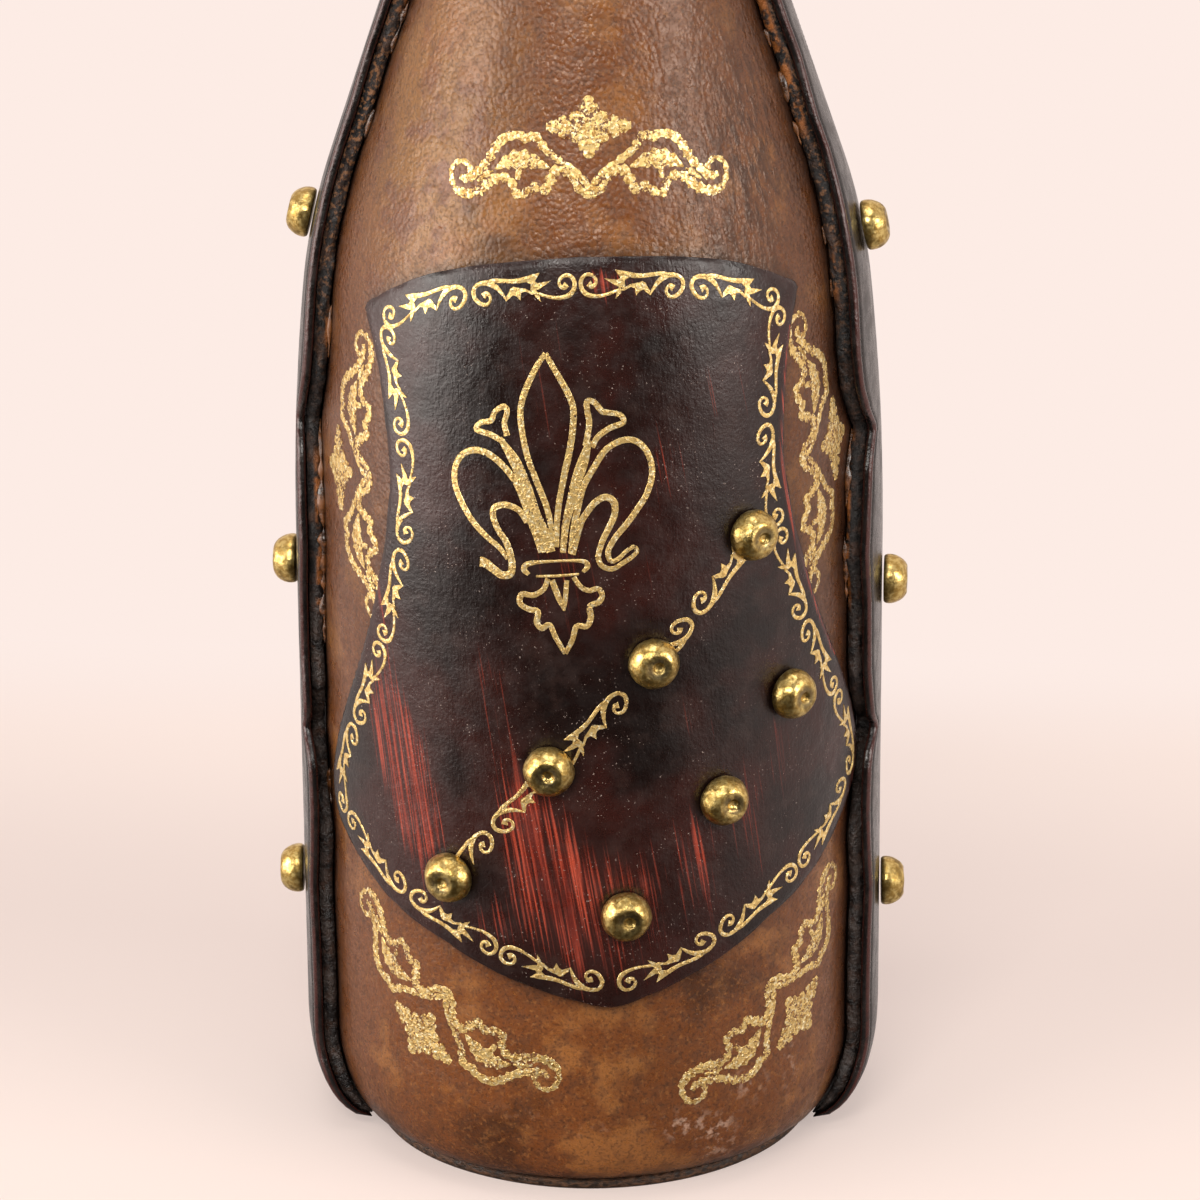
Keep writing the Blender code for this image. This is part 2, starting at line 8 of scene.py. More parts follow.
import logging
import math
from collections.abc import Callable, Sequence
from dataclasses import dataclass, field
from enum import Enum
from functools import cached_property

import bmesh
import bpy
import numpy as np
from bpy.types import ID, Material, Mesh, Node, NodeOutputs, NodeSocket, NodeTree, Object
from mathutils import Matrix, Vector

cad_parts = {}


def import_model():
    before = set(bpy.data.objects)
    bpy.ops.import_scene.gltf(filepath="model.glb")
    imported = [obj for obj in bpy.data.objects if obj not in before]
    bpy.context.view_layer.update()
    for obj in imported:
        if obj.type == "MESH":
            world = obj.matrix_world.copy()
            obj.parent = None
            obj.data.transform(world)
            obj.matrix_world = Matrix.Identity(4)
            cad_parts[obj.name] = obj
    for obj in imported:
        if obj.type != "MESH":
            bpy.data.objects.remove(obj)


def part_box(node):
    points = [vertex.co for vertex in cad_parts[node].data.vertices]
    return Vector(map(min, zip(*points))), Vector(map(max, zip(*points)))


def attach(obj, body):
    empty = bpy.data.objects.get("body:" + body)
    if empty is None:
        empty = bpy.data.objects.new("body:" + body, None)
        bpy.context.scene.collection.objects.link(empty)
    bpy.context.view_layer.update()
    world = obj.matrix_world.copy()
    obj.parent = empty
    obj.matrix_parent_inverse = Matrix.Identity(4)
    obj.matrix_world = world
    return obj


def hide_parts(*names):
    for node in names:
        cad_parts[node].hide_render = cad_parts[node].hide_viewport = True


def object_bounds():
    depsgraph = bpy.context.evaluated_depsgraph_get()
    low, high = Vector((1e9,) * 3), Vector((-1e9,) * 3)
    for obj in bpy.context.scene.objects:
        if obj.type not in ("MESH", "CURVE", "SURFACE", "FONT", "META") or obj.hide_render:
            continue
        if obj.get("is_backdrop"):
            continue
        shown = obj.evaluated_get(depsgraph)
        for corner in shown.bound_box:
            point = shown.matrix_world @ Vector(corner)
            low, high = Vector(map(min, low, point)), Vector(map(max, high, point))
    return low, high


log = logging.getLogger("carafe")

MM = 0.001
QUARTER = math.pi / 2

Points = Sequence[tuple[float, float]]
Grid = np.ndarray
Amount = np.ndarray | float
Faces = Sequence[Sequence[int]]
Marks = dict[str, Grid]
Inputs = dict[str | int, object]


class Body(Enum):
    """The two bodies that the pieces ride on."""

    CARAFE = "carafe"
    STOPPER = "stopper"


class Side(Enum):
    """A strap's side, with the turn of its middle line from the front towards +X."""

    LEFT = -QUARTER
    RIGHT = QUARTER

    @property
    def label(self) -> str:
        """The side's name as the CAD nodes spell it."""
        return self.name.lower()


# Tools for paths and fields


def smooth_path(points: Grid, steps: int) -> Grid:
    """A Catmull-Rom curve through the points of a path.

    Args:
        points: One row of numbers for each point.
        steps: How many points stand for each stretch between two given points.

    Returns:
        The rows of the finer path, both ends included.
    """
    guides = np.vstack([2 * points[0] - points[1], points, 2 * points[-1] - points[-2]])
    t = np.linspace(0, 1, steps, endpoint=False)[:, None]
    runs = []
    for before, start, end, after in zip(guides, guides[1:], guides[2:], guides[3:]):
        bend = (2 * before - 5 * start + 4 * end - after) * t**2
        turn = (3 * start - before - 3 * end + after) * t**3
        runs.append((2 * start + (end - before) * t + bend + turn) / 2)
    return np.vstack([*runs, points[-1:]])


def run_along(path: Grid) -> Grid:
    """How far along its own points each point of a path lies."""
    return np.concatenate([[0], np.cumsum(np.linalg.norm(np.diff(path, axis=0), axis=1))])


def by_length(path: Grid, shares: Grid) -> Grid:
    """Points of a path at shares of its length, from 0 to 1."""
    run = run_along(path)
    return np.column_stack([np.interp(shares * run[-1], run, column) for column in path.T])


def beside(path: Grid) -> Grid:
    """Unit vectors square to a flat path, to its left, one for each point."""
    run = np.gradient(path, axis=0)
    run /= np.maximum(np.linalg.norm(run, axis=1), 1e-6)[:, None]
    return np.column_stack([-run[:, 1], run[:, 0]])


def spun(flat: Grid, angle: float) -> Grid:
    """Flat points turned anticlockwise about their origin, with across and up in the last axis."""
    across, up, cos, sin = flat[..., 0], flat[..., 1], math.cos(angle), math.sin(angle)
    return np.stack([across * cos - up * sin, across * sin + up * cos], axis=-1)


def hump(values: Grid, middle: float, reach: float) -> Grid:
    """A bell curve over values, 1 at its middle and 0.37 at its reach."""
    return np.exp(-((values - middle) / reach) ** 2)


def full_turn(steps: int) -> Grid:
    """Angles spaced evenly round a full turn."""
    return np.linspace(0, math.tau, steps, endpoint=False)


def wavy(seed: int, *coords: Grid) -> Grid:
    """A smooth random field from a few sine waves, between about -1 and 1.

    Args:
        seed: Fixes the waves.
        coords: Arrays of one shape, each already divided by the wanted feature size.

    Returns:
        An array of the same shape.
    """
    dice = np.random.default_rng(seed)
    total = np.zeros_like(coords[0], dtype=float)
    waves = 9
    for _ in range(waves):
        way = dice.normal(size=len(coords))
        phase = dice.uniform(0, math.tau)
        total = total + np.sin(sum(w * c for w, c in zip(way, coords)) * 2 + phase)
    return total / math.sqrt(waves)


# Tools for meshes


def added(name: str, data: ID) -> Object:
    """Puts a new object into the scene, at the origin, unturned and unscaled."""
    item = bpy.data.objects.new(name, data)
    bpy.context.scene.collection.objects.link(item)
    return item


def bare_mesh(name: str, points: Grid, edges: Faces = (), faces: Faces = ()) -> Mesh:
    """A mesh from points in millimetres and the edges and faces between them."""
    mesh = bpy.data.meshes.new(name)
    mesh.from_pydata((np.asarray(points, float) * MM).tolist(), edges, faces)
    return mesh


def keep_marks(mesh: Mesh, marks: Marks) -> None:
    """Keeps a number or a vector for each point of a mesh under each label, for nodes to read.

    Args:
        mesh: The mesh.
        marks: Values for each point, one column or three.
    """
    for label, values in marks.items():
        kind, key = ("FLOAT", "value") if values.ndim == 1 else ("FLOAT_VECTOR", "vector")
        kept = mesh.attributes.new(label, kind, "POINT").data
        kept.foreach_set(key, values.astype(np.float32).ravel())


def make_mesh(name: str, points: Grid, faces: Faces, finish: Material, marks: Marks | None = None,
              smooth: bool = True) -> Object:
    """Makes an object from points in millimetres, with its normals turned outwards.

    Args:
        name: The piece's name.
        points: Rows of x, y and z.
        faces: Corners of each face.
        finish: The piece's material.
        marks: As for keep_marks.
        smooth: Whether its faces shade smoothly.

    Returns:
        The new object, at the origin, unturned and unscaled.
    """
    mesh = bare_mesh(name, points, faces=faces)
    keep_marks(mesh, marks or {})
    shape = bmesh.new()
    shape.from_mesh(mesh)
    bmesh.ops.recalc_face_normals(shape, faces=shape.faces)
    shape.to_mesh(mesh)
    shape.free()
    if smooth:
        mesh.shade_smooth()
    mesh.materials.append(finish)
    return added(name, mesh)


def sheet_faces(rows: int, columns: int) -> Faces:
    """Faces of a closed sheet whose outer grid of points comes first and whose inner grid follows.

    Args:
        rows: Points along the grid's first axis.
        columns: Points along its second axis.

    Returns:
        The faces.
    """
    many = rows * columns
    at = np.arange(many).reshape(rows, columns)
    cells = np.stack([at[:-1, :-1], at[:-1, 1:], at[1:, 1:], at[1:, :-1]], axis=-1).reshape(-1, 4)
    rim = np.array([*at[0], *at[1:, -1], *at[-1, -2::-1], *at[-2:0:-1, 0]])
    after = np.roll(rim, -1)
    wall = np.stack([after, rim, rim + many, after + many], axis=-1)
    return np.vstack([cells, cells[:, ::-1] + many, wall]).tolist()


def swept_faces(stations: int, around: int, closed: bool = False) -> Faces:
    """Faces of a body swept through loops of points.

    Args:
        stations: How many loops there are.
        around: How many points each loop has.
        closed: Whether the last loop joins the first, as in a ring. Otherwise both ends get a face.

    Returns:
        The faces, for points given loop by loop.
    """
    at = np.arange(stations * around).reshape(stations, around)
    after = np.roll(at, -1, axis=0)
    wall = np.stack([at, np.roll(at, -1, axis=1), np.roll(after, -1, axis=1), after], axis=-1)
    if closed:
        return wall.reshape(-1, 4).tolist()
    return [*wall[:-1].reshape(-1, 4).tolist(), at[0, ::-1].tolist(), at[-1].tolist()]


def disc_faces(rings: int, around: int) -> Faces:
    """Faces of an open disc whose middle point comes first and whose rings follow, from the inside out.

    Args:
        rings: How many rings there are.
        around: How many points each ring has.

    Returns:
        The faces.
    """
    wall = np.array(swept_faces(rings, around)[:-2], int).reshape(-1, 4) + 1
    fan = [(0, 1 + k, 1 + (k + 1) % around) for k in range(around)]
    return [*fan, *wall[:, [0, 3, 2, 1]].tolist()]


def turned_body(name: str, profile: Points, segments: int, finish: Material,
                shift: Callable[[Grid, Grid, Grid], Grid] | None = None) -> Object:
    """A body turned about the Z axis from a profile that starts and ends on it.

    Args:
        name: The piece's name.
        profile: Radius and height of each point, in millimetres.
        segments: Facets round the axis.
        finish: The piece's material.
        shift: Gives the change of radius at each turn, height and radius.

    Returns:
        The new object.
    """
    line = np.array(profile)
    inner = line[1:-1]
    t, r = np.meshgrid(full_turn(segments), inner[:, 0])
    z = np.repeat(inner[:, 1], segments).reshape(r.shape)
    if shift:
        r = r + shift(t, z, r)
    ring = np.stack([r * np.sin(t), -r * np.cos(t), z], axis=-1).reshape(-1, 3)
    points = np.vstack([ring, [0, 0, line[0, 1]], [0, 0, line[-1, 1]]])
    top, low = len(ring), len(ring) - segments
    caps = []
    for k in range(segments):
        after = (k + 1) % segments
        caps += [(top, after, k), (top + 1, low + k, low + after)]
    return make_mesh(name, points, [*swept_faces(len(inner), segments)[:-2], *caps], finish)


def turned_ring(name: str, profile: Points, segments: int, finish: Material) -> Object:
    """A ring turned about the Z axis.

    Args:
        name: The piece's name.
        profile: Radius and height of each corner of the closed profile, in millimetres.
        segments: Facets round the axis.
        finish: The piece's material.

    Returns:
        The new object.
    """
    r, z = np.array(profile).T
    loops = [np.column_stack([r * math.sin(t), -r * math.cos(t), z]) for t in full_turn(segments)]
    return make_mesh(name, np.vstack(loops), swept_faces(segments, len(r), closed=True), finish)


# The bottle's line


@dataclass(frozen=True)
class BottleLine:
    """The outer line of the glass, which every layer of the covering follows.

    The sizes are those of the CAD source, in millimetres and degrees.
    """

    base_z: float = 3.8
    body_r: float = 44.0
    heel_w: float = 6.5
    heel_h: float = 16.2
    straight_h: float = 86.0
    soft_r: float = 425.0
    soft_lean: float = 5.84
    tight_r: float = 96.3
    shoulder_lean: float = 18.63
    fillet_r: float = 90.0
    neck_r: float = 15.6
    neck_lean: float = 1.2
    neck_h: float = 38.5

    @cached_property
    def runs(self) -> tuple[tuple[float, float, float, float], ...]:
        """Foot height, foot radius, foot lean and bend of each stretch, from the body up to the neck."""
        soft, steep, neck = np.radians([self.soft_lean, self.shoulder_lean, self.neck_lean])
        z, r = self.base_z + self.heel_h, self.body_r
        rows = [(z, r, 0.0, 0.0)]
        z += self.straight_h
        for start, stop, bend in ((0.0, soft, self.soft_r), (soft, steep, self.tight_r)):
            rows.append((z, r, start, bend))
            z += bend * (math.sin(stop) - math.sin(start))
            r -= bend * (math.cos(start) - math.cos(stop))
        fillet_foot_r = self.neck_r + self.fillet_r * (math.cos(neck) - math.cos(steep))
        rows.append((z, r, steep, 0.0))
        z += (r - fillet_foot_r) / math.tan(steep)
        rows.append((z, fillet_foot_r, steep, -self.fillet_r))
        z += self.fillet_r * (math.sin(steep) - math.sin(neck))
        return *rows, (z, self.neck_r, neck, 0.0)

    @property
    def neck_top(self) -> float:
        """Height of the neck's top."""
        return self.runs[-1][0] + self.neck_h

    def at(self, z: Amount) -> tuple[Grid, Grid]:
        """Radius of the glass and lean of its outward normal.

        Args:
            z: Heights on the glass.

        Returns:
            Radii, and angles above level.
        """
        z = np.asarray(z, float)
        down = np.clip((self.runs[0][0] - z) / self.heel_h, 0, 1)
        out = np.sqrt(1 - down**2)
        radius = self.body_r - self.heel_w + self.heel_w * out
        lean = -np.arctan2(down * self.heel_w, out * self.heel_h)
        for foot, wide, slope, bend in self.runs:
            if bend:
                rise = np.arcsin(np.clip(math.sin(slope) + (z - foot) / bend, -1, 1))
                inwards = bend * (math.cos(slope) - np.cos(rise))
            else:
                rise = slope
                inwards = (z - foot) * math.tan(slope)
            radius = np.where(z < foot, radius, wide - inwards)
            lean = np.where(z < foot, lean, rise)
        return radius, lean

    def radius(self, z: float) -> float:
        """Radius of the glass at one height."""
        return float(self.at(z)[0])

    def lifted(self, z: Amount, lift: Amount) -> tuple[Grid, Grid]:
        """Radius and height of points that stand lift off the glass at height z."""
        radius, lean = self.at(z)
        return radius + lift * np.cos(lean), np.asarray(z) + lift * np.sin(lean)

    def skin(self, turn: Amount, z: Amount, lift: Amount) -> Grid:
        """Points on the covering.

        Args:
            turn: Angles from the front towards +X.
            z: Heights on the glass.
            lift: Distances off the glass, square to it.

        Returns:
            Points in millimetres, in the last axis.
        """
        turn, radius, up = np.broadcast_arrays(turn, *self.lifted(z, lift))
        return np.stack([radius * np.sin(turn), -radius * np.cos(turn), up], axis=-1)

    def heights(self, low: float, high: float, step: float) -> Grid:
        """Heights from low to high that are about step apart along the line."""
        z = np.linspace(low, high, 4000)
        run = run_along(np.column_stack([z, self.at(z)[0]]))
        return np.interp(np.linspace(0, run[-1], max(int(run[-1] / step), 2)), run, z)


@dataclass(frozen=True)
class Layers:
    """Distances off the glass at which the layers of the covering lie, in millimetres."""

    gap: float = 0.3
    leather_t: float = 1.2
    pad_t: float = 2.2
    strap_t: float = 1.4
    shield_t: float = 1.3

    @property
    def casing_top(self) -> float:
        """Outer side of the brown casing."""
        return self.gap + self.leather_t

    @property
    def foot(self) -> float:
        """Inner side of whatever is laid on the casing."""
        return self.casing_top + self.gap

    @property
    def strap_top(self) -> float:
        """Outer side of a strap where its pad is full."""
        return self.foot + self.pad_t + self.gap + self.strap_t

    @property
    def shield_top(self) -> float:
        """Outer side of the shield."""
        return self.foot + self.shield_t


LINE = BottleLine()
LAYERS = Layers()


# Node trees


def linear(code: str) -> tuple[float, ...]:
    """Turns an sRGB hex colour such as "#7a5030" into linear RGBA."""
    parts = [int(code[i:i + 2], 16) / 255 for i in (1, 3, 5)]
    return (*(p / 12.92 if p <= 0.04045 else ((p + 0.055) / 1.055) ** 2.4 for p in parts), 1.0)


class Graph:
    """A node tree in the making."""

    def __init__(self, tree: NodeTree) -> None:
        """Takes up a tree."""
        self.tree = tree

    def plug(self, made: Node, inputs: Inputs) -> None:
        """Sets a node's inputs.

        Args:
            made: The node.
            inputs: Socket names or numbers, each with a value, a hex colour or the socket that feeds it.
        """
        for key, value in inputs.items():
            if isinstance(value, NodeSocket):
                self.tree.links.new(value, made.inputs[key])
            else:
                made.inputs[key].default_value = linear(value) if str(value).startswith("#") else value

    def add(self, kind: str, inputs: Inputs | None = None, **settings: object) -> NodeOutputs:
        """Adds a node with its settings, values and links.

        Args:
            kind: The node's type name.
            inputs: As for plug.
            settings: The node's own properties.

        Returns:
            The new node's outputs.
        """
        made = self.tree.nodes.new(kind)
        for key, value in settings.items():
            setattr(made, key, value)
        self.plug(made, inputs or {})
        return made.outputs


class Surface(Graph):
    """A material in the making, patterned on its piece's own Object coordinates."""

    def __init__(self, name: str) -> None:
        """Makes the material with its Principled shader."""
        self.material = bpy.data.materials.new(name)
        self.material.use_nodes = True
        super().__init__(self.material.node_tree)
        self.shader = self.tree.nodes["Principled BSDF"]
        self.where = self.add("ShaderNodeTexCoord")["Object"]

    def marks(self, *labels: str) -> list[NodeSocket]:
        """The masks that a piece's points carry under some labels."""
        return [self.add("ShaderNodeAttribute", attribute_name=label)["Fac"] for label in labels]

    def patches(self, size: float, low: float, high: float, top: float = 1.0, detail: float = 3.0,
                bottom: float = 0.0, where: NodeSocket | None = None) -> NodeSocket:
        """A mask of noise patches with soft edges.

        Args:
            size: Width of a patch in millimetres.
            low: Noise level up to which the mask is at its bottom.
            high: Noise level from which it is at its top.
            top: The mask's highest value.
            detail: Octaves of finer noise in it.
            bottom: The mask's lowest value.
            where: Coordinates in metres, if not the piece's own.

        Returns:
            The mask.
        """
        noise = self.add("ShaderNodeTexNoise", {
            "Vector": where or self.where, "Scale": 1 / (size * MM), "Detail": detail, "Roughness": 0.58,
        })["Fac"]
        return self.add("ShaderNodeMapRange", {
            "Value": noise, "From Min": low, "From Max": high, "To Min": bottom, "To Max": top,
        }, interpolation_type="SMOOTHSTEP")[0]

    def coats(self, ground: object, *layers: tuple) -> NodeSocket:
        """Lays coats of colour over a ground.

        Args:
            ground: The colour underneath, as a hex code or a socket.
            layers: Each coat's colour, and the masks whose product is its cover.

        Returns:
            The colour that shows.
        """
        for coat, cover, *masks in layers:
            for mask in masks:
                cover = self.add("ShaderNodeMath", {0: cover, 1: mask}, operation="MULTIPLY")[0]
            ground = self.add("ShaderNodeMix", {0: cover, 6: ground, 7: coat}, data_type="RGBA")[2]
        return ground

    def heaped(self, *parts: tuple) -> NodeSocket:
        """The weighted sum of some masks, each given with its share."""
        total = 0.0
        for value, share in parts:
            total = self.add("ShaderNodeMath", {0: value, 1: share, 2: total}, operation="MULTIPLY_ADD")[0]
        return total

    def relief(self, *layers: tuple) -> NodeSocket:
        """Lays bumps over one another.

        Args:
            layers: Each bump's height mask, its depth in millimetres and its strength.

        Returns:
            The normal.
        """
        below = {}
        for height, depth, strength in layers:
            inputs = {"Height": height, "Distance": depth * MM, "Strength": strength, **below}
            below = {"Normal": self.add("ShaderNodeBump", inputs)["Normal"]}
        return below["Normal"]

    def finish(self, inputs: Inputs) -> Material:
        """Sets the shader's inputs and gives the finished material."""
        self.plug(self.shader, inputs)
        return self.material


class Generator(Graph):
    """A Geometry Nodes group in the making, and the object that it runs on."""

    def __init__(self, name: str, host: Mesh, values: dict[str, object]) -> None:
        """Makes the group with its named inputs, and sets them.

        Args:
            name: The group's name.
            host: The mesh that the group starts from.
            values: The value of each further input by its name, among them the material under "Finish".
        """
        kinds = {float: "Float", int: "Int", tuple: "Vector", Object: "Object", Material: "Material"}
        super().__init__(bpy.data.node_groups.new(name, "GeometryNodeTree"))
        sockets = {label: self.tree.interface.new_socket(label, in_out=way, socket_type="NodeSocket" + kind)
                   for label, way, kind in (
                       ("Start", "INPUT", "Geometry"), ("Result", "OUTPUT", "Geometry"),
                       *((label, "INPUT", kinds[type(value)]) for label, value in values.items()))}
        self.host = added(name, host)
        modifier = self.host.modifiers.new(name, "NODES")
        modifier.node_group = self.tree
        for label, value in values.items():
            modifier[sockets[label].identifier] = value
        self.start = self.add("NodeGroupInput")

    def piece(self, name: str, geometry: NodeSocket) -> Object:
        """Ends the group, and turns what it makes into a plain mesh object.

        Args:
            name: The piece's name.
            geometry: What the group has made.

        Returns:
            The piece, at the origin, unturned and unscaled.
        """
        real = self.add("GeometryNodeRealizeInstances", {"Geometry": geometry})[0]
        whole = self.add("GeometryNodeSetMaterial", {"Geometry": real, "Material": self.start["Finish"]})[0]
        self.add("NodeGroupOutput", {"Result": whole})
        bpy.context.view_layer.update()
        graph = bpy.context.evaluated_depsgraph_get()
        mesh = bpy.data.meshes.new_from_object(self.host.evaluated_get(graph), depsgraph=graph)
        bpy.data.objects.remove(self.host)
        mesh.name = name
        return added(name, mesh)


# Finishes


@dataclass(frozen=True)
class MottledCalf:
    """Vegetable-tanned calf, stained by hand and waxed.

    The stain took unevenly, so the face is blotchy, with dark open pores and a fine pebble that glints.
    """

    name: str = "mottled_waxed_calf"
    dark: str = "#3f220f"
    middle: str = "#6e3f1d"
    light: str = "#976433"
    ochre: str = "#8a5f26"
    # Colour of the dark pores and of the painted shade
    stain: str = "#22120b"
    scuff: str = "#c9ad99"
    wax: str = "#fff1e5"
    blotch: float = 24.0
    mottle: float = 2.0
    pebble: float = 0.85
    pore: float = 0.5
    fine_below: float = 0.08
    coarse_above: float = 0.15
    deep_above: float = 0.19
    deepest: float = 0.22
    fold_squash: float = 0.12

    def make(self) -> Material:
        """The material, which reads the marks shade, ochre, wrinkle and scuff of a piece."""
        calf = Surface(self.name)
        shade, ochre, wrinkle, scuff = calf.marks("shade", "ochre", "wrinkle", "scuff")
        upright = calf.add("ShaderNodeMapping", {"Vector": calf.where, "Scale": (1, 1, self.fold_squash)})[0]
        folds = calf.patches(1.5, 0.4, 0.62, where=upright)
        pores = calf.patches(self.pore, 0.48, 0.68, 0.8, 2)
        pebbles = calf.add("ShaderNodeTexVoronoi", {"Vector": calf.where, "Scale": 1 / (self.pebble * MM)})[0]
        height = calf.add("ShaderNodeSeparateXYZ", {"Vector": calf.where})["Z"]
        coarse, deeper = (
            calf.add("ShaderNodeMapRange", {"Value": height, "From Min": self.fine_below, "From Max": above,
                                            "To Min": low, "To Max": high})[0]
            for above, low, high in ((self.coarse_above, 0.3, 1.0), (self.deep_above, 0.0, self.deepest))
        )
        folded, pebbled = (calf.add("ShaderNodeMath", {0: mask, 1: share}, operation="MULTIPLY")[0]
                           for mask, share in ((folds, wrinkle), (pebbles, coarse)))
        grain = calf.relief((calf.patches(7, 0.3, 0.7), 0.4, 0.4), (folded, 0.3, 0.5), (pebbled, -0.15, 0.75),
                            (pores, -0.05, 0.6))
        return calf.finish({
            "Base Color": calf.coats(
                self.dark,
                (self.middle, calf.patches(self.blotch, 0.26, 0.48, detail=4)),
                (self.light, calf.patches(self.blotch * 0.6, 0.5, 0.63, 0.66, 7)),
                (self.ochre, ochre, calf.patches(6, 0.38, 0.56)),
                (self.dark, calf.patches(self.mottle, 0.46, 0.66, 0.34, 5)),
                (self.light, calf.patches(self.mottle * 0.4, 0.54, 0.68, 0.42)),
                (self.dark, folds, wrinkle),
                (self.dark, deeper),
                (self.stain, pores, 0.5),
                # Painted shade along the straps, the shield, the sole and the right side, with darker blots
                (self.stain, shade),
                (self.scuff, scuff, calf.patches(1.5, 0.5, 0.66, 0.62, 4)),
            ),
            "Roughness": calf.patches(self.mottle, 0.35, 0.65, 0.44, bottom=0.27),
            "Specular Tint": self.wax,
            "Coat Weight": 0.11,
            "Coat Roughness": 0.26,
            "Normal": grain,
            "Coat Normal": grain,
        })


@dataclass(frozen=True)
class BrushedLacquer:
    """Leather under near-black lacquer, with vermilion dragged on by a dry brush before the last coat.

    The brush leaves hair-fine slanted streaks, and the leather's own pebble breaks up the gloss.
    """

    name: str = "brushed_black_lacquer"
    black: str = "#120806"
    brown: str = "#34140f"
    red: str = "#5c1c13"
    orange: str = "#a8432c"
    # Greyer lacquer, in random patches and as a painted highlight along the rim
    edge: str = "#3a2a26"
    dust: str = "#a89a92"
    hair_w: float = 0.42
    hair_l: float = 24.0
    slant: float = 7.0

    def make(self) -> Material:
        """The material, which reads the marks flat, brushed and rim of the shield, and its mark of painted
        shadow round the studs.
        """
        lacquer = Surface(self.name)
        brushed, rim, grime = lacquer.marks("brushed", "rim", "grime")
        flat = lacquer.add("ShaderNodeAttribute", attribute_name="flat")["Vector"]
        hairs = []
        for wide, long, slant in ((1, 1, self.slant), (3.2, 1.6, self.slant), (0.8, 0.5, 0)):
            along = lacquer.add("ShaderNodeMapping", {
                "Vector": flat, "Rotation": (0, 0, math.radians(slant)),
                "Scale": (self.hair_w * wide, self.hair_l * long, 1),
            }, vector_type="TEXTURE")[0]
            hairs.append(lacquer.add("ShaderNodeTexNoise", {"Vector": along, "Scale": 1, "Detail": 2})["Fac"])
        wet = lacquer.heaped((brushed, 0.34), (hairs[0], 0.62), (hairs[1], 0.38))
        streaks, loaded, rim_highlight = (
            lacquer.add("ShaderNodeMapRange", {"Value": mask, "From Min": low, "From Max": high,
                                               "To Max": top})[0]
            for mask, low, high, top in ((wet, 0.71, 0.84, 1), (hairs[0], 0.46, 0.68, 1), (rim, 0.14, 0, 0.8))
        )
        pebble = lacquer.patches(0.6, 0.32, 0.68, detail=2)
        return lacquer.finish({
            "Base Color": lacquer.coats(
                self.black,
                (self.brown, lacquer.patches(18, 0.4, 0.65, 0.7)),
                (self.brown, brushed),
                (lacquer.coats(self.red, (self.orange, loaded, brushed)), streaks),
                (self.edge, lacquer.patches(5, 0.5, 0.7, 0.3, 4)),
                # A painted highlight, in the edge colour, along the plate's rounded rim
                (self.edge, rim_highlight),
                (self.dust, lacquer.patches(0.35, 0.7, 0.76, 0.7, 1), lacquer.patches(9, 0.42, 0.6)),
                # Painted shadow round the foot of each stud
                (self.black, grime),
            ),
            "Roughness": lacquer.patches(3, 0.35, 0.65, 0.4, 4, 0.24),
            "Normal": lacquer.relief((lacquer.patches(11, 0.3, 0.7), 0.35, 0.35), (hairs[2], 0.06, 0.4),
                                     (hairs[0], 0.04, 0.4), (pebble, 0.045, 0.6)),
        })


@dataclass(frozen=True)
class BridleLeather:
    """Black bridle leather, burnished to a gloss that turns pale at grazing, with an oxblood edge."""

    name: str = "burnished_black_bridle"
    black: str = "#0e0a09"
    worn: str = "#2c2320"
    oxblood: str = "#3f1d18"
    line_out: float = 0.8

    def make(self) -> Material:
        """The material, which reads the mark rim, the distance from the edge in millimetres."""
        bridle = Surface(self.name)
        rim, = bridle.marks("rim")
        inside, outside = (
            bridle.add("ShaderNodeMapRange", {"Value": rim, "From Min": low, "From Max": high})[0]
            for low, high in ((0.02, 0.1), (self.line_out + 0.1, self.line_out - 0.1))
        )
        return bridle.finish({
            "Base Color": bridle.coats(
                self.black,
                (self.worn, bridle.patches(5, 0.42, 0.7, 0.7, 4)),
                (self.worn, bridle.patches(0.6, 0.58, 0.7, 0.5)),
                (self.oxblood, inside, outside, bridle.patches(2.2, 0.3, 0.5, 0.95, bottom=0.45)),
            ),
            "Roughness": bridle.patches(4, 0.35, 0.7, 0.36, 4, 0.18),
            "Normal": bridle.relief((bridle.patches(7, 0.3, 0.7), 0.35, 0.35),
                                    (bridle.patches(0.6, 0.3, 0.7), 0.06, 0.6)),
        })


@dataclass(frozen=True)
class DyedEdge:
    """The cut edge of thick leather, dyed black by hand: fibrous and matt above, waxed smooth below."""

    name: str = "dyed_cut_edge"
    black: str = "#0f0b0a"
    brown: str = "#3b2518"
    fibre: str = "#7a5230"
    waxed: str = "#3a322e"
    amber: str = "#8a4f14"

    def make(self) -> Material:
        """The material, which reads the marks glue, fibre and waxed of a pad."""
        edge = Surface(self.name)
        glue, fibre, waxed = edge.marks("glue", "fibre", "waxed")
        matt = edge.patches(2, 0.35, 0.7, 0.85, 4, 0.5)
        return edge.finish({
            "Base Color": edge.coats(
                self.black,
                (self.brown, edge.patches(2.4, 0.46, 0.68, 0.9, 5)),
                (self.fibre, fibre, edge.patches(0.8, 0.5, 0.62, detail=4)),
                (self.waxed, waxed, edge.patches(3, 0.38, 0.6, 0.8)),
                (self.amber, glue, edge.patches(3.2, 0.42, 0.56)),
            ),
            "Roughness": edge.add("ShaderNodeMix", {0: waxed, 2: matt, 3: 0.34}, data_type="FLOAT")[0],
            "Normal": edge.relief((edge.patches(1.1, 0.32, 0.66, detail=5), 0.4, 0.75),
                                  (edge.patches(0.5, 0.3, 0.7), 0.1, 0.7)),
        })


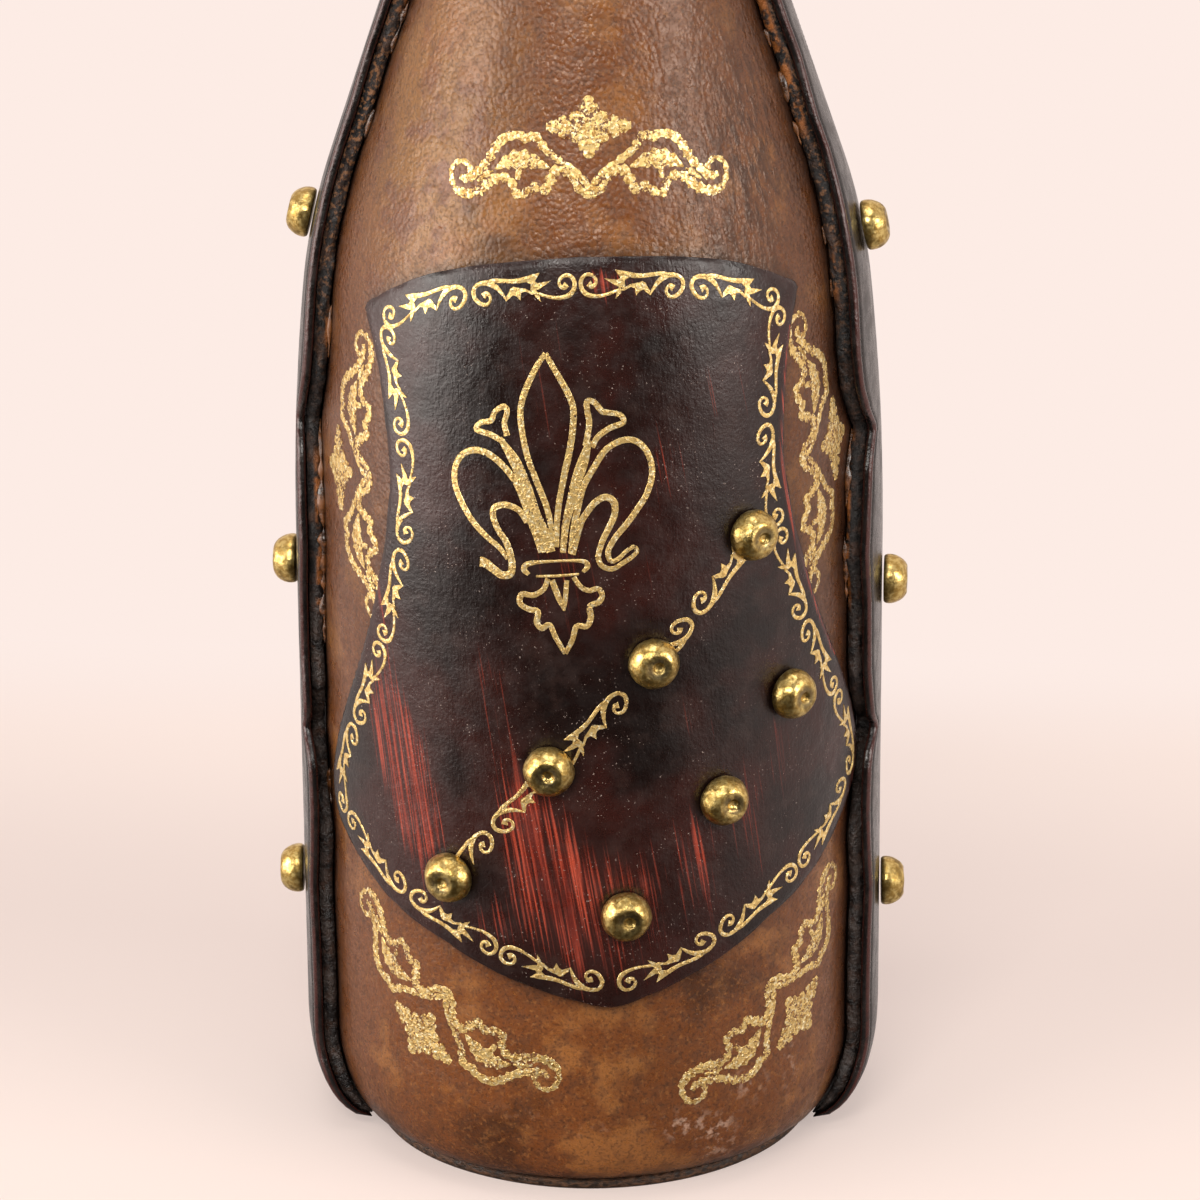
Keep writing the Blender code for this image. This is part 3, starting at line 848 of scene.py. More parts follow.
@dataclass(frozen=True)
class AgedBrass:
    """Stamped brass, satin from handling and tarnished in patches, with a ring of dust round its dimple."""

    name: str = "aged_stamped_brass"
    bright: str = "#dfc67f"
    deep: str = "#b39350"
    tarnish: str = "#7a6436"
    dust: str = "#6f6650"

    def make(self) -> Material:
        """The material, which reads the mark dull of a stud."""
        brass = Surface(self.name)
        dull, = brass.marks("dull")
        return brass.finish({
            "Base Color": brass.coats(
                self.bright,
                (self.deep, brass.patches(0.8, 0.36, 0.62)),
                (self.tarnish, brass.patches(2, 0.5, 0.66, 0.75, 4)),
                (self.dust, dull, brass.patches(1.6, 0.3, 0.5, 0.8)),
            ),
            "Metallic": 1.0,
            "Roughness": brass.patches(2, 0.42, 0.66, 0.5, 4, 0.3),
            "Normal": brass.relief((brass.patches(2.6, 0.3, 0.7), 0.2, 0.4),
                                   (brass.patches(0.8, 0.3, 0.7), 0.04, 0.4)),
        })


@dataclass(frozen=True)
class WornGilt:
    """Gold foil tooled into leather, rubbed through in places and ragged along its edges."""

    name: str
    under: str
    worn: float
    depth: float
    grain: float = 0.7
    glint: str = "#fff2c4"
    bright: str = "#f4d68c"
    deep: str = "#a3752f"

    def make(self) -> Material:
        """The material, which reads the mark heart: 1 in the middle of a stroke and 0 at its edges."""
        gilt = Surface(self.name)
        heart, = gilt.marks("heart")
        kept = gilt.heaped((heart, 0.22), (gilt.patches(0.42, 0.3, 0.7), 0.5),
                           (gilt.patches(4.5, 0.25, 0.75), 0.4))
        foil = gilt.add("ShaderNodeMapRange", {"Value": kept, "From Min": self.worn - 0.03,
                                               "From Max": self.worn + 0.04})[0]
        grains = gilt.patches(self.grain, 0.44, 0.64)
        gold = gilt.coats(self.bright, (self.deep, grains, self.depth), (self.deep, heart, 0.25),
                          (self.glint, gilt.patches(self.grain * 0.8, 0.54, 0.62, 0.85)))
        return gilt.finish({
            "Base Color": gilt.coats(self.under, (gold, foil)),
            "Metallic": gilt.heaped((foil, 0.7)),
            "Roughness": 0.34,
            "Normal": gilt.relief((grains, 0.16 * self.depth, 0.9), (heart, 0.1, 0.6)),
        })


@dataclass(frozen=True)
class PlainFinish:
    """A finish of two mottled colours with one grain, such as sole leather, cork, beech or glue."""

    name: str
    dark: str
    light: str
    mottle: float
    stretch: tuple[float, float, float] = (1.0, 1.0, 1.0)
    rough: tuple[float, float] = (0.5, 0.65)
    depth: float = 0.1
    coat: float = 0.0

    def make(self) -> Material:
        """The material, with its pattern stretched along the piece's own axes."""
        plain = Surface(self.name)
        along = plain.add("ShaderNodeMapping", {"Vector": plain.where, "Scale": self.stretch})[0]
        mottles = plain.patches(self.mottle, 0.36, 0.66, detail=4, where=along)
        low, high = self.rough
        return plain.finish({
            "Base Color": plain.coats(self.dark, (self.light, mottles)),
            "Roughness": plain.patches(self.mottle, 0.3, 0.7, high, 4, low, along),
            "Normal": plain.relief((mottles, self.depth, 0.5)),
            "Coat Weight": self.coat,
        })


@dataclass(frozen=True)
class BottleGlass:
    """Soda-lime bottle glass, dark olive green and slightly wavy."""

    name: str = "olive_bottle_glass"
    tint: str = "#4c5a2c"
    pale: str = "#5d6c38"

    def make(self) -> Material:
        """The material."""
        glass = Surface(self.name)
        return glass.finish({
            "Base Color": glass.coats(self.tint, (self.pale, glass.patches(18, 0.35, 0.65))),
            "Transmission Weight": 1.0, "IOR": 1.52, "Roughness": 0.03,
            "Normal": glass.relief((glass.patches(12, 0.3, 0.7), 0.2, 0.2)),
        })


class Finish(Enum):
    """Every finish on the carafe, by the part of the work that it belongs to."""

    CALF = MottledCalf()
    LACQUER = BrushedLacquer()
    BRIDLE = BridleLeather()
    EDGE = DyedEdge()
    BRASS = AgedBrass()
    SHIELD_GILT = WornGilt("gilt_on_lacquer", "#3d2a18", 0.25, 0.5)
    CALF_GILT = WornGilt("gilt_on_calf", "#6a4324", 0.4, 0.85)
    GLUE = PlainFinish("amber_hide_glue", "#2c1a0d", "#6e4118", 1.8, rough=(0.2, 0.5), depth=0.4, coat=0.3)
    SOLE = PlainFinish("sole_leather_edge", "#24170e", "#5a3c26", 1.2, (1, 1, 2), (0.5, 0.7), 0.3)
    GLASS = BottleGlass()
    CORK = PlainFinish("natural_cork", "#8a5f38", "#c59a68", 2.0, rough=(0.75, 0.9), depth=0.25)
    BEECH = PlainFinish("turned_beech", "#a97c4d", "#cda271", 3.0, (3, 3, 0.3), (0.45, 0.6), 0.05)

    @property
    def material(self) -> Material:
        """The finish's material, made once."""
        return bpy.data.materials.get(self.value.name) or self.value.make()


def dressed(item: Object, body: Body, slot: str, *nodes: str) -> None:
    """Says which body a piece rides on and which nodes it replaces."""
    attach(item, body.value)
    if nodes:
        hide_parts(*nodes)
    log.info("%s rides on %s, %d faces", item.name, body.value, len(item.data.polygons))


# Outlines of the strap and the shield


@dataclass(frozen=True)
class StrapOutline:
    """Edges and middle line of a strap, as in the CAD source."""

    half_w: float = 14.5
    foot_z: float = 4.6
    top_z: float = 269.16
    low_notch_z: float = 73.0
    high_notch_z: float = 127.0
    skive_h: float = 7.5
    foot_t: float = 0.3
    top_taper_h: float = 62.0
    lean: float = 3.2
    lean_top_z: float = 86.0
    lean_bottom_z: float = 74.0
    pad_share: float = 0.94
    pad_notch_z: float = 68.5
    pad_notch_h: float = 13.0
    pad_notch_share: float = 0.24
    lower: Points = (
        (0, 1.06), (0.09, 1.09), (0.16, 0.95), (0.3, 0.98), (0.45, 0.95), (0.59, 0.87), (0.7, 0.98),
        (0.81, 1.04), (0.92, 1), (0.97, 0.88), (1, 0.58),
    )
    middle: Points = (
        (0.06, 0.8), (0.14, 0.84), (0.28, 0.85), (0.46, 0.87), (0.63, 0.98), (0.78, 0.89), (0.91, 0.78),
        (0.97, 0.62), (1, 0.48),
    )
    upper: Points = (
        (0.03, 0.78), (0.065, 0.97), (0.107, 1), (0.145, 0.95), (0.18, 0.89), (0.24, 0.8), (0.29, 0.68),
        (0.33, 0.58), (0.37, 0.59), (0.41, 0.5), (0.44, 0.43), (0.48, 0.46), (0.53, 0.46), (0.64, 0.43),
        (0.82, 0.38), (1, 0.36),
    )

    @cached_property
    def edge(self) -> tuple[Grid, Grid]:
        """Heights and half-widths of the scalloped edge, its corners rounded."""
        ends = (self.foot_z, self.low_notch_z, self.high_notch_z, self.top_z)
        runs = zip(ends, ends[1:], (self.lower, self.middle, self.upper))
        at, wide = np.array([(low + (high - low) * up, self.half_w * wide)
                             for low, high, run in runs for up, wide in run]).T
        fine = np.linspace(at[0], at[-1], 1200)
        rounding = hump(np.linspace(-2, 2, 9), 0, 1)
        padded = np.pad(np.interp(fine, at, wide), 4, mode="edge")
        return fine, np.convolve(padded, rounding / rounding.sum(), mode="valid")

    def width(self, z: Grid) -> Grid:
        """Half-width of the strap at heights z, in millimetres."""
        return np.interp(z, *self.edge)

    def turn(self, side: Side, z: Amount) -> Amount:
        """Turn of the strap's middle line at heights z."""
        share = (self.lean_top_z - z) / (self.lean_top_z - self.lean_bottom_z)
        return side.value + math.radians(self.lean) * np.clip(share, 0, 1)

    def skived(self, z: Grid, full: float) -> Grid:
        """Thickness of a layer at heights z, pared down towards the foot."""
        share = np.clip((z - self.foot_z) / self.skive_h, 0, 1)
        return self.foot_t + (full - self.foot_t) * np.sqrt(share * (2 - share))

    def pad_t(self, z: Grid) -> Grid:
        """Thickness of the pad at heights z, pared down towards the foot and up the neck."""
        share = np.minimum((self.top_z - z) / self.top_taper_h, 1)
        return np.minimum(self.skived(z, LAYERS.pad_t), self.foot_t + (LAYERS.pad_t - self.foot_t) * share)

    def pad_width(self, z: Grid) -> Grid:
        """Half-width of the pad at heights z, cut back beside the shield's corner."""
        near = np.clip(1 - np.abs(z - self.pad_notch_z) / self.pad_notch_h, 0, 1)
        return self.width(z) * (self.pad_share - self.pad_notch_share * np.minimum(2 * near, 1))

    def cover(self, z: Grid) -> tuple[Grid, Grid]:
        """Inner side of the strap's cover at heights z, and its thickness."""
        return LAYERS.foot + self.pad_t(z) + LAYERS.gap, self.skived(z, LAYERS.strap_t)

    def heights(self, step: float) -> Grid:
        """Heights at which the strap is drawn, about step apart."""
        return LINE.heights(self.foot_z, self.top_z, step)


OUTLINE = StrapOutline()


@dataclass(frozen=True)
class ShieldFrame:
    """The shield's flat outline and the way that it is wrapped on the casing, as in the CAD source."""

    wrap_r: float = 47.0
    turn: float = 5.4
    tilt: float = 2.25
    z: float = 100.0
    half_w: float = 58.4
    top_h: float = 66.6
    bottom_h: float = 62.2
    steps: int = 12
    side: Points = (
        (0.757, 0.83), (0.722, 0.78), (0.69, 0.728), (0.661, 0.646), (0.637, 0.548), (0.625, 0.473),
        (0.623, 0.413), (0.635, 0.326), (0.656, 0.237), (0.685, 0.146), (0.731, 0.033), (0.789, -0.082),
        (0.861, -0.203), (0.933, -0.318), (0.985, -0.42), (1, -0.48), (0.993, -0.54), (0.962, -0.585),
    )
    bottom: Points = (
        (0.962, -0.585), (0.851, -0.659), (0.745, -0.724), (0.639, -0.775), (0.522, -0.82), (0.409, -0.867),
        (0.291, -0.915), (0.171, -0.954), (0.051, -0.989), (0, -1),
    )
    top: Points = (
        (0.757, 0.83), (0.728, 0.853), (0.531, 0.932), (0.36, 0.971), (0.188, 0.991), (0, 1),
    )

    def spots(self, shares: Points, way: int = 1) -> Grid:
        """Flat points of shares of the half-width and of the top or bottom height.

        Args:
            shares: Across and up, as shares.
            way: 1 for the right half, -1 for the left.

        Returns:
            Rows of across and up in millimetres.
        """
        return np.array([(way * across * self.half_w, up * (self.top_h if up > 0 else self.bottom_h))
                         for across, up in shares])

    def edge(self, run: Points, way: int) -> Grid:
        """One of the outline's tables as a fine path on its right or left half."""
        return smooth_path(self.spots(run, way), self.steps)

    @cached_property
    def rim(self) -> Grid:
        """The whole outline as one closed path, from the tip round by the right."""
        right = np.vstack([self.edge(self.bottom, 1)[::-1], self.edge(self.side, 1)[::-1][1:],
                           self.edge(self.top, 1)[1:]])
        return np.vstack([right, right[-2::-1] * [-1, 1]])

    def depth(self, flat: Grid) -> Grid:
        """Distance of flat points from the outline, in millimetres."""
        return np.array([np.hypot(*(self.rim - point).T).min() for point in flat])

    def place(self, flat: Grid) -> tuple[Grid, Grid]:
        """Turns and heights of flat points of the shield."""
        across, up = np.moveaxis(spun(flat, math.radians(self.tilt)), -1, 0)
        return math.radians(self.turn) + across / self.wrap_r, self.z + up

    def flat(self, turn: Grid, z: Grid) -> Grid:
        """Flat places of points on the casing, the other way round from place."""
        around = (turn - math.radians(self.turn)) * self.wrap_r
        return spun(np.stack([around, z - self.z], axis=-1), -math.radians(self.tilt))

    def wrap(self, flat: Grid, lift: Amount) -> Grid:
        """Points in millimetres of flat points of the shield, at distances lift off the glass."""
        return LINE.skin(*self.place(flat), lift)


SHIELD = ShieldFrame()


def warp(flat: Grid) -> Grid:
    """How far the shield's face lies above its full thickness, in millimetres, as hand-cut leather does."""
    across, up = flat.T
    return 0.05 * (wavy(8, across / 9, up / 11) - 1)


# Covering


# Turn in degrees, height, half-width, half-height in millimetres and depth of each blot or rubbed place
CALF_BLOTS = (
    (-17, 168, 3.2, 1.6, 0.75), (-20.5, 163, 1.8, 2.4, 0.7), (-25, 172, 1.6, 1.6, 0.6),
    (-21, 196, 6, 9, 0.28), (6, 199, 9, 5, -0.12), (24, 178, 7, 14, -0.05), (31, 181, 2.5, 16, 0.2),
    (20, 150, 26, 2.6, 0.2), (-52, 135, 6, 20, 0.12),
)
CALF_SCUFFS = (
    (24, 14.5, 4, 2, 0.8), (32, 12, 3, 2.2, 0.9), (40, 19.5, 3, 3, 0.55), (52, 20, 1.6, 5, 0.5),
    (35, 8, 4, 1.6, 0.5), (4, 15, 2, 0.8, 0.5), (-12, 17, 3, 0.6, 0.35), (45, 27, 2, 1.6, 0.3),
)


@dataclass
class Casing:
    """The brown calf casing in two halves, whose seams lie under the straps.

    Each painted shade beside the straps, the shield or the sole is given by its depth and its reach in
    millimetres.
    """

    seam: float = 1.0
    turn_under: float = 2.5
    top_z: float = 284.56
    step: float = 1.45
    swell: float = 0.22
    far: float = 99.0
    strap_stains: Points = ((0.75, 2.2), (0.18, 9.0))
    shield_stain: tuple[float, float] = (0.7, 1.3)
    sole_stain: tuple[float, float] = (0.5, 2.2)
    shoulder_z: float = 178.0
    darkest: float = 0.92

    def face(self, turn: Grid, z: Grid) -> Grid:
        """Distance of the leather's swelling face from the glass at some turns and heights."""
        arc = turn * LINE.body_r
        sag = 0.5 + 0.35 * wavy(3, arc / 17, z / 26) + 0.12 * wavy(4, arc / 5, z / 9)
        return LAYERS.casing_top - self.swell * np.clip(sag, 0, 1)

    def marks(self, turn: Grid, z: Grid) -> Marks:
        """Painted shade, darker places and rubbed places of the calf.

        Args:
            turn: Angles from the front.
            z: Heights on the glass.

        Returns:
            The marks shade, scuff, ochre and wrinkle, from 0 to 1.
        """
        radius, _ = LINE.at(z)
        across = turn * radius
        off_strap = np.minimum.reduce([
            np.abs(turn + lap - OUTLINE.turn(side, z)) * radius - OUTLINE.pad_width(z)
            for side in Side for lap in (-math.tau, 0, math.tau)
        ]).clip(0, self.far)
        # Painted shade beside the straps and round the shield, where they stand on the calf
        shade = sum(depth * np.exp(-off_strap / reach) for depth, reach in self.strap_stains)
        front = np.abs(turn) < 1.5
        off_shield = np.full(turn.shape, self.far)
        off_shield[front] = SHIELD.depth(SHIELD.flat(turn[front], z[front]))
        depth, reach = self.shield_stain
        shade = np.maximum(shade, depth * np.exp(-off_shield / reach))
        # Darker between the shield's waist and the straps and up the shoulder, and painted shade by the sole
        shade += 0.34 * hump(z, 118, 34) * hump(np.abs(turn - 0.09), 0.98, 0.22)
        depth, reach = self.sole_stain
        shade += depth * np.exp((LINE.base_z - z) / reach) + 0.3 * np.clip((z - 205) / 30, 0, 1)
        # Painted shade darkens the right side, and the lower middle is darker too
        shade += 0.16 * np.clip((across - 4) / 30, 0, 1) * front
        shade += 0.2 * hump(across, 12, 12) * hump(z, 22, 16)
        blots, scuffs = (
            sum(depth * hump((turn - math.radians(at)) * radius, 0, wide) * hump(z, height, tall)
                for at, height, wide, tall, depth in spots)
            for spots in (CALF_BLOTS, CALF_SCUFFS)
        )
        return {
            "shade": np.clip(shade + blots, 0, self.darkest), "scuff": np.clip(scuffs, 0, 1),
            "ochre": hump(across, -24, 15) * hump(z, self.shoulder_z, 26),
            "wrinkle": hump(across, 30, 11) * hump(z, self.shoulder_z, 22),
        }

    def half(self, name: str, middle: float, replaced: str) -> None:
        """Builds one half of the casing.

        Args:
            name: The piece's name.
            middle: Turn of its middle.
            replaced: The CAD node that it stands for.
        """
        heights = LINE.heights(LINE.base_z, self.top_z, self.step)
        columns = int(math.pi * LINE.body_r / self.step)
        radius, _ = LINE.at(heights)
        turn = middle + (QUARTER - self.seam / 2 / radius)[:, None] * np.linspace(-1, 1, columns)
        z = np.repeat(heights[:, None], columns, axis=1)
        outer, inner = LINE.skin(turn, z, self.face(turn, z)), LINE.skin(turn, z, LAYERS.gap)
        # The first row is turned under the heel, level with the glass
        under = inner[0] * [1, 1, 0] * (1 - self.turn_under / radius[0]) + [0, 0, LINE.base_z - LAYERS.gap]
        points = np.vstack([under - [0, 0, LAYERS.leather_t], *outer, under, *inner])
        marks = self.marks(np.vstack([turn[:1], turn]), np.vstack([z[:1], z]))
        marks = {label: np.tile(values.ravel(), 2) for label, values in marks.items()}
        faces = sheet_faces(len(heights) + 1, columns)
        item = make_mesh(name, points, faces, Finish.CALF.material, marks)
        dressed(item, Body.CARAFE, "brown_leather", replaced)

    def build(self) -> None:
        """Builds both halves."""
        self.half("casing_front", 0.0, "front_panel")
        self.half("casing_back", math.pi, "back_panel")


def beads_along(name: str, paths: list[Grid], pitch: float, radius: float) -> None:
    """Tools rows of small domes along paths on black leather, by Geometry Nodes.

    Args:
        name: The piece's name.
        paths: Rows of points in millimetres.
        pitch: Distance between two domes.
        radius: Radius of a dome.
    """
    finish = Finish.BRIDLE.material
    around, tall = 6, 0.72
    turn, lean = np.tile(full_turn(around), 2), np.repeat([QUARTER / 2, QUARTER], around)
    rings = np.column_stack([np.sin(lean) * np.cos(turn), np.sin(lean) * np.sin(turn), tall * np.cos(lean)])
    points = np.vstack([[0, 0, tall], rings]) / MM
    foot = tuple(range(2 * around, around, -1))
    dome = make_mesh(name + "_dome", points, [*disc_faces(2, around), foot], finish)
    ends = np.cumsum([len(path) for path in paths])
    edges = [(i - 1, i) for i in range(1, ends[-1]) if i not in ends]
    group = Generator("beaded_line", bare_mesh(name + "_paths", np.vstack(paths), edges),
                      {"Dome": dome, "Pitch": pitch * MM, "Radius": radius * MM, "Finish": finish})
    curve = group.add("GeometryNodeMeshToCurve", {"Mesh": group.start["Start"]})[0]
    spots = group.add("GeometryNodeCurveToPoints", {"Curve": curve, "Length": group.start["Pitch"]},
                      mode="LENGTH")
    # Each dome's own Z axis looks away from the bottle's axis
    place = group.add("GeometryNodeInputPosition")[0]
    outward = group.add("ShaderNodeVectorMath", {0: place, 1: (1, 1, 0)}, operation="MULTIPLY")[0]
    placed = group.add("GeometryNodeInstanceOnPoints", {
        "Points": spots["Points"], "Scale": group.start["Radius"],
        "Instance": group.add("GeometryNodeObjectInfo", {"Object": group.start["Dome"]})["Geometry"],
        "Rotation": group.add("FunctionNodeAlignRotationToVector", {"Vector": outward}, axis="Z")[0],
    })[0]
    dressed(group.piece(name, placed), Body.CARAFE, "strap_leather")
    bpy.data.objects.remove(dome)


# Low and high ends of the stained lengths of each pad's wall, and how many rows up the wall they reach
GLUE_STAINS = {
    Side.LEFT: ((92, 124, 3), (196, 246, 4), (140, 150, 2)),
    Side.RIGHT: ((96, 128, 2), (150, 160, 3), (176, 240, 4)),
}

# Low and high ends of each run of glue along the pad's foot, and its thickness
GLUE_RUNS = {
    Side.LEFT: ((88.5, 127, 1.7), (140, 149, 0.9), (176, 181, 1.1), (190, 199, 1.3), (203, 206, 0.9),
                (210, 216, 1.0), (60, 66, 0.8)),
    Side.RIGHT: ((98, 110, 1.1), (115, 127, 1.2), (151.5, 154.5, 1.1), (160, 163, 1.0), (176, 180, 1.3),
                 (183, 188, 1.5), (192, 195, 1.1), (201, 209, 1.0)),
}


@dataclass
class Strap:
    """One strap: a thick pad with a rough dyed edge, a glossy cover with a tooled line, and glue."""

    side: Side
    step: float = 1.3
    pad_step: float = 0.9
    groove: float = 0.12
    flat_in: float = 3.0
    bead_pitch: float = 0.95
    bead_r: float = 0.29
    bead_in: float = 1.42
    bead_step: float = 0.8
    far: float = 9.0
    wall: tuple[float, ...] = (0.0, 0.14, 0.36, 0.6, 0.82, 1.0)
    fine_rough: float = 0.2
    long_rough: float = 0.24
    wall_bulge: float = 0.55
    glue_section: Points = ((0.9, -0.25), (1.0, 0.25), (0.72, 0.75), (0.25, 1.0), (-0.5, 0.95), (-0.8, 0.2),
                            (-0.6, -0.3))

    def loops(self, z: Grid, outline: list[tuple[Grid, Grid]]) -> Grid:
        """Cross-sections of a layer along the strap.

        Args:
            z: Heights on the glass.
            outline: Offset from the middle line and lift of each corner, for each height.

        Returns:
            Points, by height and corner.
        """
        turn = OUTLINE.turn(self.side, z)
        return np.stack([LINE.skin(turn + offset / LINE.lifted(z, lift)[0], z, lift)
                         for offset, lift in outline], axis=1)

    def cover(self) -> None:
        """The glossy top layer, with rounded edges and a shallow groove for the tooled line."""
        z = OUTLINE.heights(self.step)
        half = OUTLINE.width(z)
        foot, full = OUTLINE.cover(z)
        low, flat = 1 - self.groove, self.flat_in
        table = ((0.35, 0), (0.06, 0.12), (0, 0.35), (0.02, 0.6), (0.14, 0.82), (0.34, 0.95), (0.62, 1),
                 (0.98, 1), (1.16, low), (1.62, low), (1.82, 1), (flat, 1))
        right = [(half - inset, foot + full * up) for inset, up in table]
        middle = [((half - flat) * share, foot + full) for share in (0.72, 0.4, 0, -0.4, -0.72)]
        left = [(-offset, lift) for offset, lift in reversed(right)]
        under = [(half * share, foot) for share in (-0.6, 0, 0.6)]
        rims = [inset for inset, _ in table]
        rim = np.array([*rims, *[self.far] * len(middle), *reversed(rims), *[self.far] * len(under)])
        points = self.loops(z, [*right, *middle, *left, *under]).reshape(-1, 3)
        item = make_mesh(f"{self.side.label}_strap_cover", points, swept_faces(len(z), len(rim)),
                         Finish.BRIDLE.material, {"rim": np.tile(rim, len(z))})
        dressed(item, Body.CARAFE, "strap_leather", f"{self.side.label}_strap")

    def pad(self) -> None:
        """The thick under-strap, whose dyed wall is uneven."""
        z = OUTLINE.heights(self.pad_step)
        half, full, foot = OUTLINE.pad_width(z), OUTLINE.pad_t(z), LAYERS.foot
        room = np.clip(full - 0.4, 0, 1)
        seed, frayed = (20, 1.0) if self.side is Side.LEFT else (40, 0.7)
        sides = []
        for way in (1, -1):
            sides.append([])
            for up in self.wall:
                rough = wavy(seed + way, z / 1.3, np.full(z.shape, up * 2.2)) * self.fine_rough
                rough = rough + wavy(seed + 5 + way, z / 6, np.full(z.shape, up)) * self.long_rough
                rough = rough * np.clip((z - 70) / 50, 0.35, 1)
                bulge = self.wall_bulge * math.sin(math.pi * min(up * 1.15, 1)) if 0 < up < 1 else 0
                sides[-1].append((way * (half + (rough - 0.15 + bulge) * room), foot + full * up))
        inner = [(half * share, foot + full) for share in (0.6, 0, -0.6)]
        under = [(half * share, foot) for share in (-0.6, 0, 0.6)]
        loops = self.loops(z, [*sides[0], *inner, *reversed(sides[1]), *under])
        around = loops.shape[1]
        last = around - len(under)
        glue = np.zeros((len(z), around))
        for low, high, reach in GLUE_STAINS[self.side]:
            band = np.clip(np.minimum(z - low, high - z) / 4, 0, 1)[:, None]
            rows = [*range(reach), *range(last - reach, last)]
            glue[:, rows] = np.maximum(glue[:, rows], band)
        marks = {"glue": glue.ravel(), "fibre": np.repeat(frayed * hump(z, 178, 30), around),
                 "waxed": np.repeat(np.clip((112 - z) / 24, 0, 1), around)}
        item = make_mesh(f"{self.side.label}_strap_core", loops.reshape(-1, 3), swept_faces(len(z), around),
                         Finish.EDGE.material, marks)
        dressed(item, Body.CARAFE, "pad_leather", f"{self.side.label}_strap_pad")

    def glue(self) -> None:
        """Beads of amber glue squeezed out along the front foot of the pad."""
        way = 1 if self.side is Side.LEFT else -1
        points, faces = [], []
        for number, (low, high, thick) in enumerate(GLUE_RUNS[self.side]):
            z = np.linspace(low, high, max(int((high - low) / 0.5), 9))
            swell = np.sqrt(np.sin(np.linspace(0.02, math.pi - 0.02, len(z))))
            size = np.maximum(thick * swell * (0.6 + 0.35 * wavy(60 + number, z / 1.6)), 0.05)
            foot = OUTLINE.pad_width(z) + 0.1
            outline = [(way * (foot + across * size * 0.55), LAYERS.casing_top + 0.1 + up * size * 0.75)
                       for across, up in self.glue_section]
            faces += [[i + len(points) for i in face] for face in swept_faces(len(z), len(outline))]
            points += [*self.loops(z, outline).reshape(-1, 3)]
        item = make_mesh(f"{self.side.label}_strap_glue", points, faces, Finish.GLUE.material)
        dressed(item, Body.CARAFE, "pad_leather")

    def beading(self) -> None:
        """The tooled line of fine beads along both edges of the cover."""
        z = OUTLINE.heights(self.bead_step)
        z = z[(z > OUTLINE.foot_z + 6) & (z < OUTLINE.top_z - 1)]
        foot, full = OUTLINE.cover(z)
        offset, lift = OUTLINE.width(z) - self.bead_in, foot + full - self.groove * LAYERS.strap_t
        paths = [self.loops(z, [(way * offset, lift)])[:, 0] for way in (1, -1)]
        beads_along(f"{self.side.label}_strap_beading", paths, self.bead_pitch, self.bead_r)

    def build(self) -> None:
        """Builds the strap's layers, from the casing outwards."""
        self.pad()
        self.glue()
        self.cover()
        self.beading()


# Across, up, half-width and half-height in millimetres and load of each place where the brush was dragged
BRUSHED_PLACES = (
    (-38, -14, 6, 18, 1.2), (-33, -25, 5, 17, 1.05), (-13, -28, 6, 21, 1), (-6, -38, 7, 20, 0.85),
    (5, -40, 6, 17, 0.72), (-20, -47, 6, 10, 0.5), (15, -34, 4, 18, 0.76), (25, -28, 4, 16, 0.72),
    (33, -18, 3, 14, 0.55), (41, -16, 3, 12, 0.45), (16, -10, 3, 10, 0.5), (-7, 50, 5, 13, 0.55),
    (-4, 20, 9, 18, 0.48), (-18, -2, 5, 12, 0.6), (4, 63, 5, 3, 0.95), (24, 44, 10, 16, 0.36),
    (-40, 8, 4, 14, 0.5), (12, 34, 6, 16, 0.42),
)

# Across and up of each stud, as shares of the shield's half-width and of its top or bottom height
SHIELD_STUDS = SHIELD.spots((
    (0.473, 0.272), (0.16, -0.009), (-0.142, -0.297), (-0.455, -0.628), (0.592, -0.192), (0.347, -0.434),
    (0.05, -0.723),
))
STRAP_STUD_HEIGHTS = {Side.LEFT: (43.1, 99.4, 159.8), Side.RIGHT: (40.8, 97.8, 159.1)}


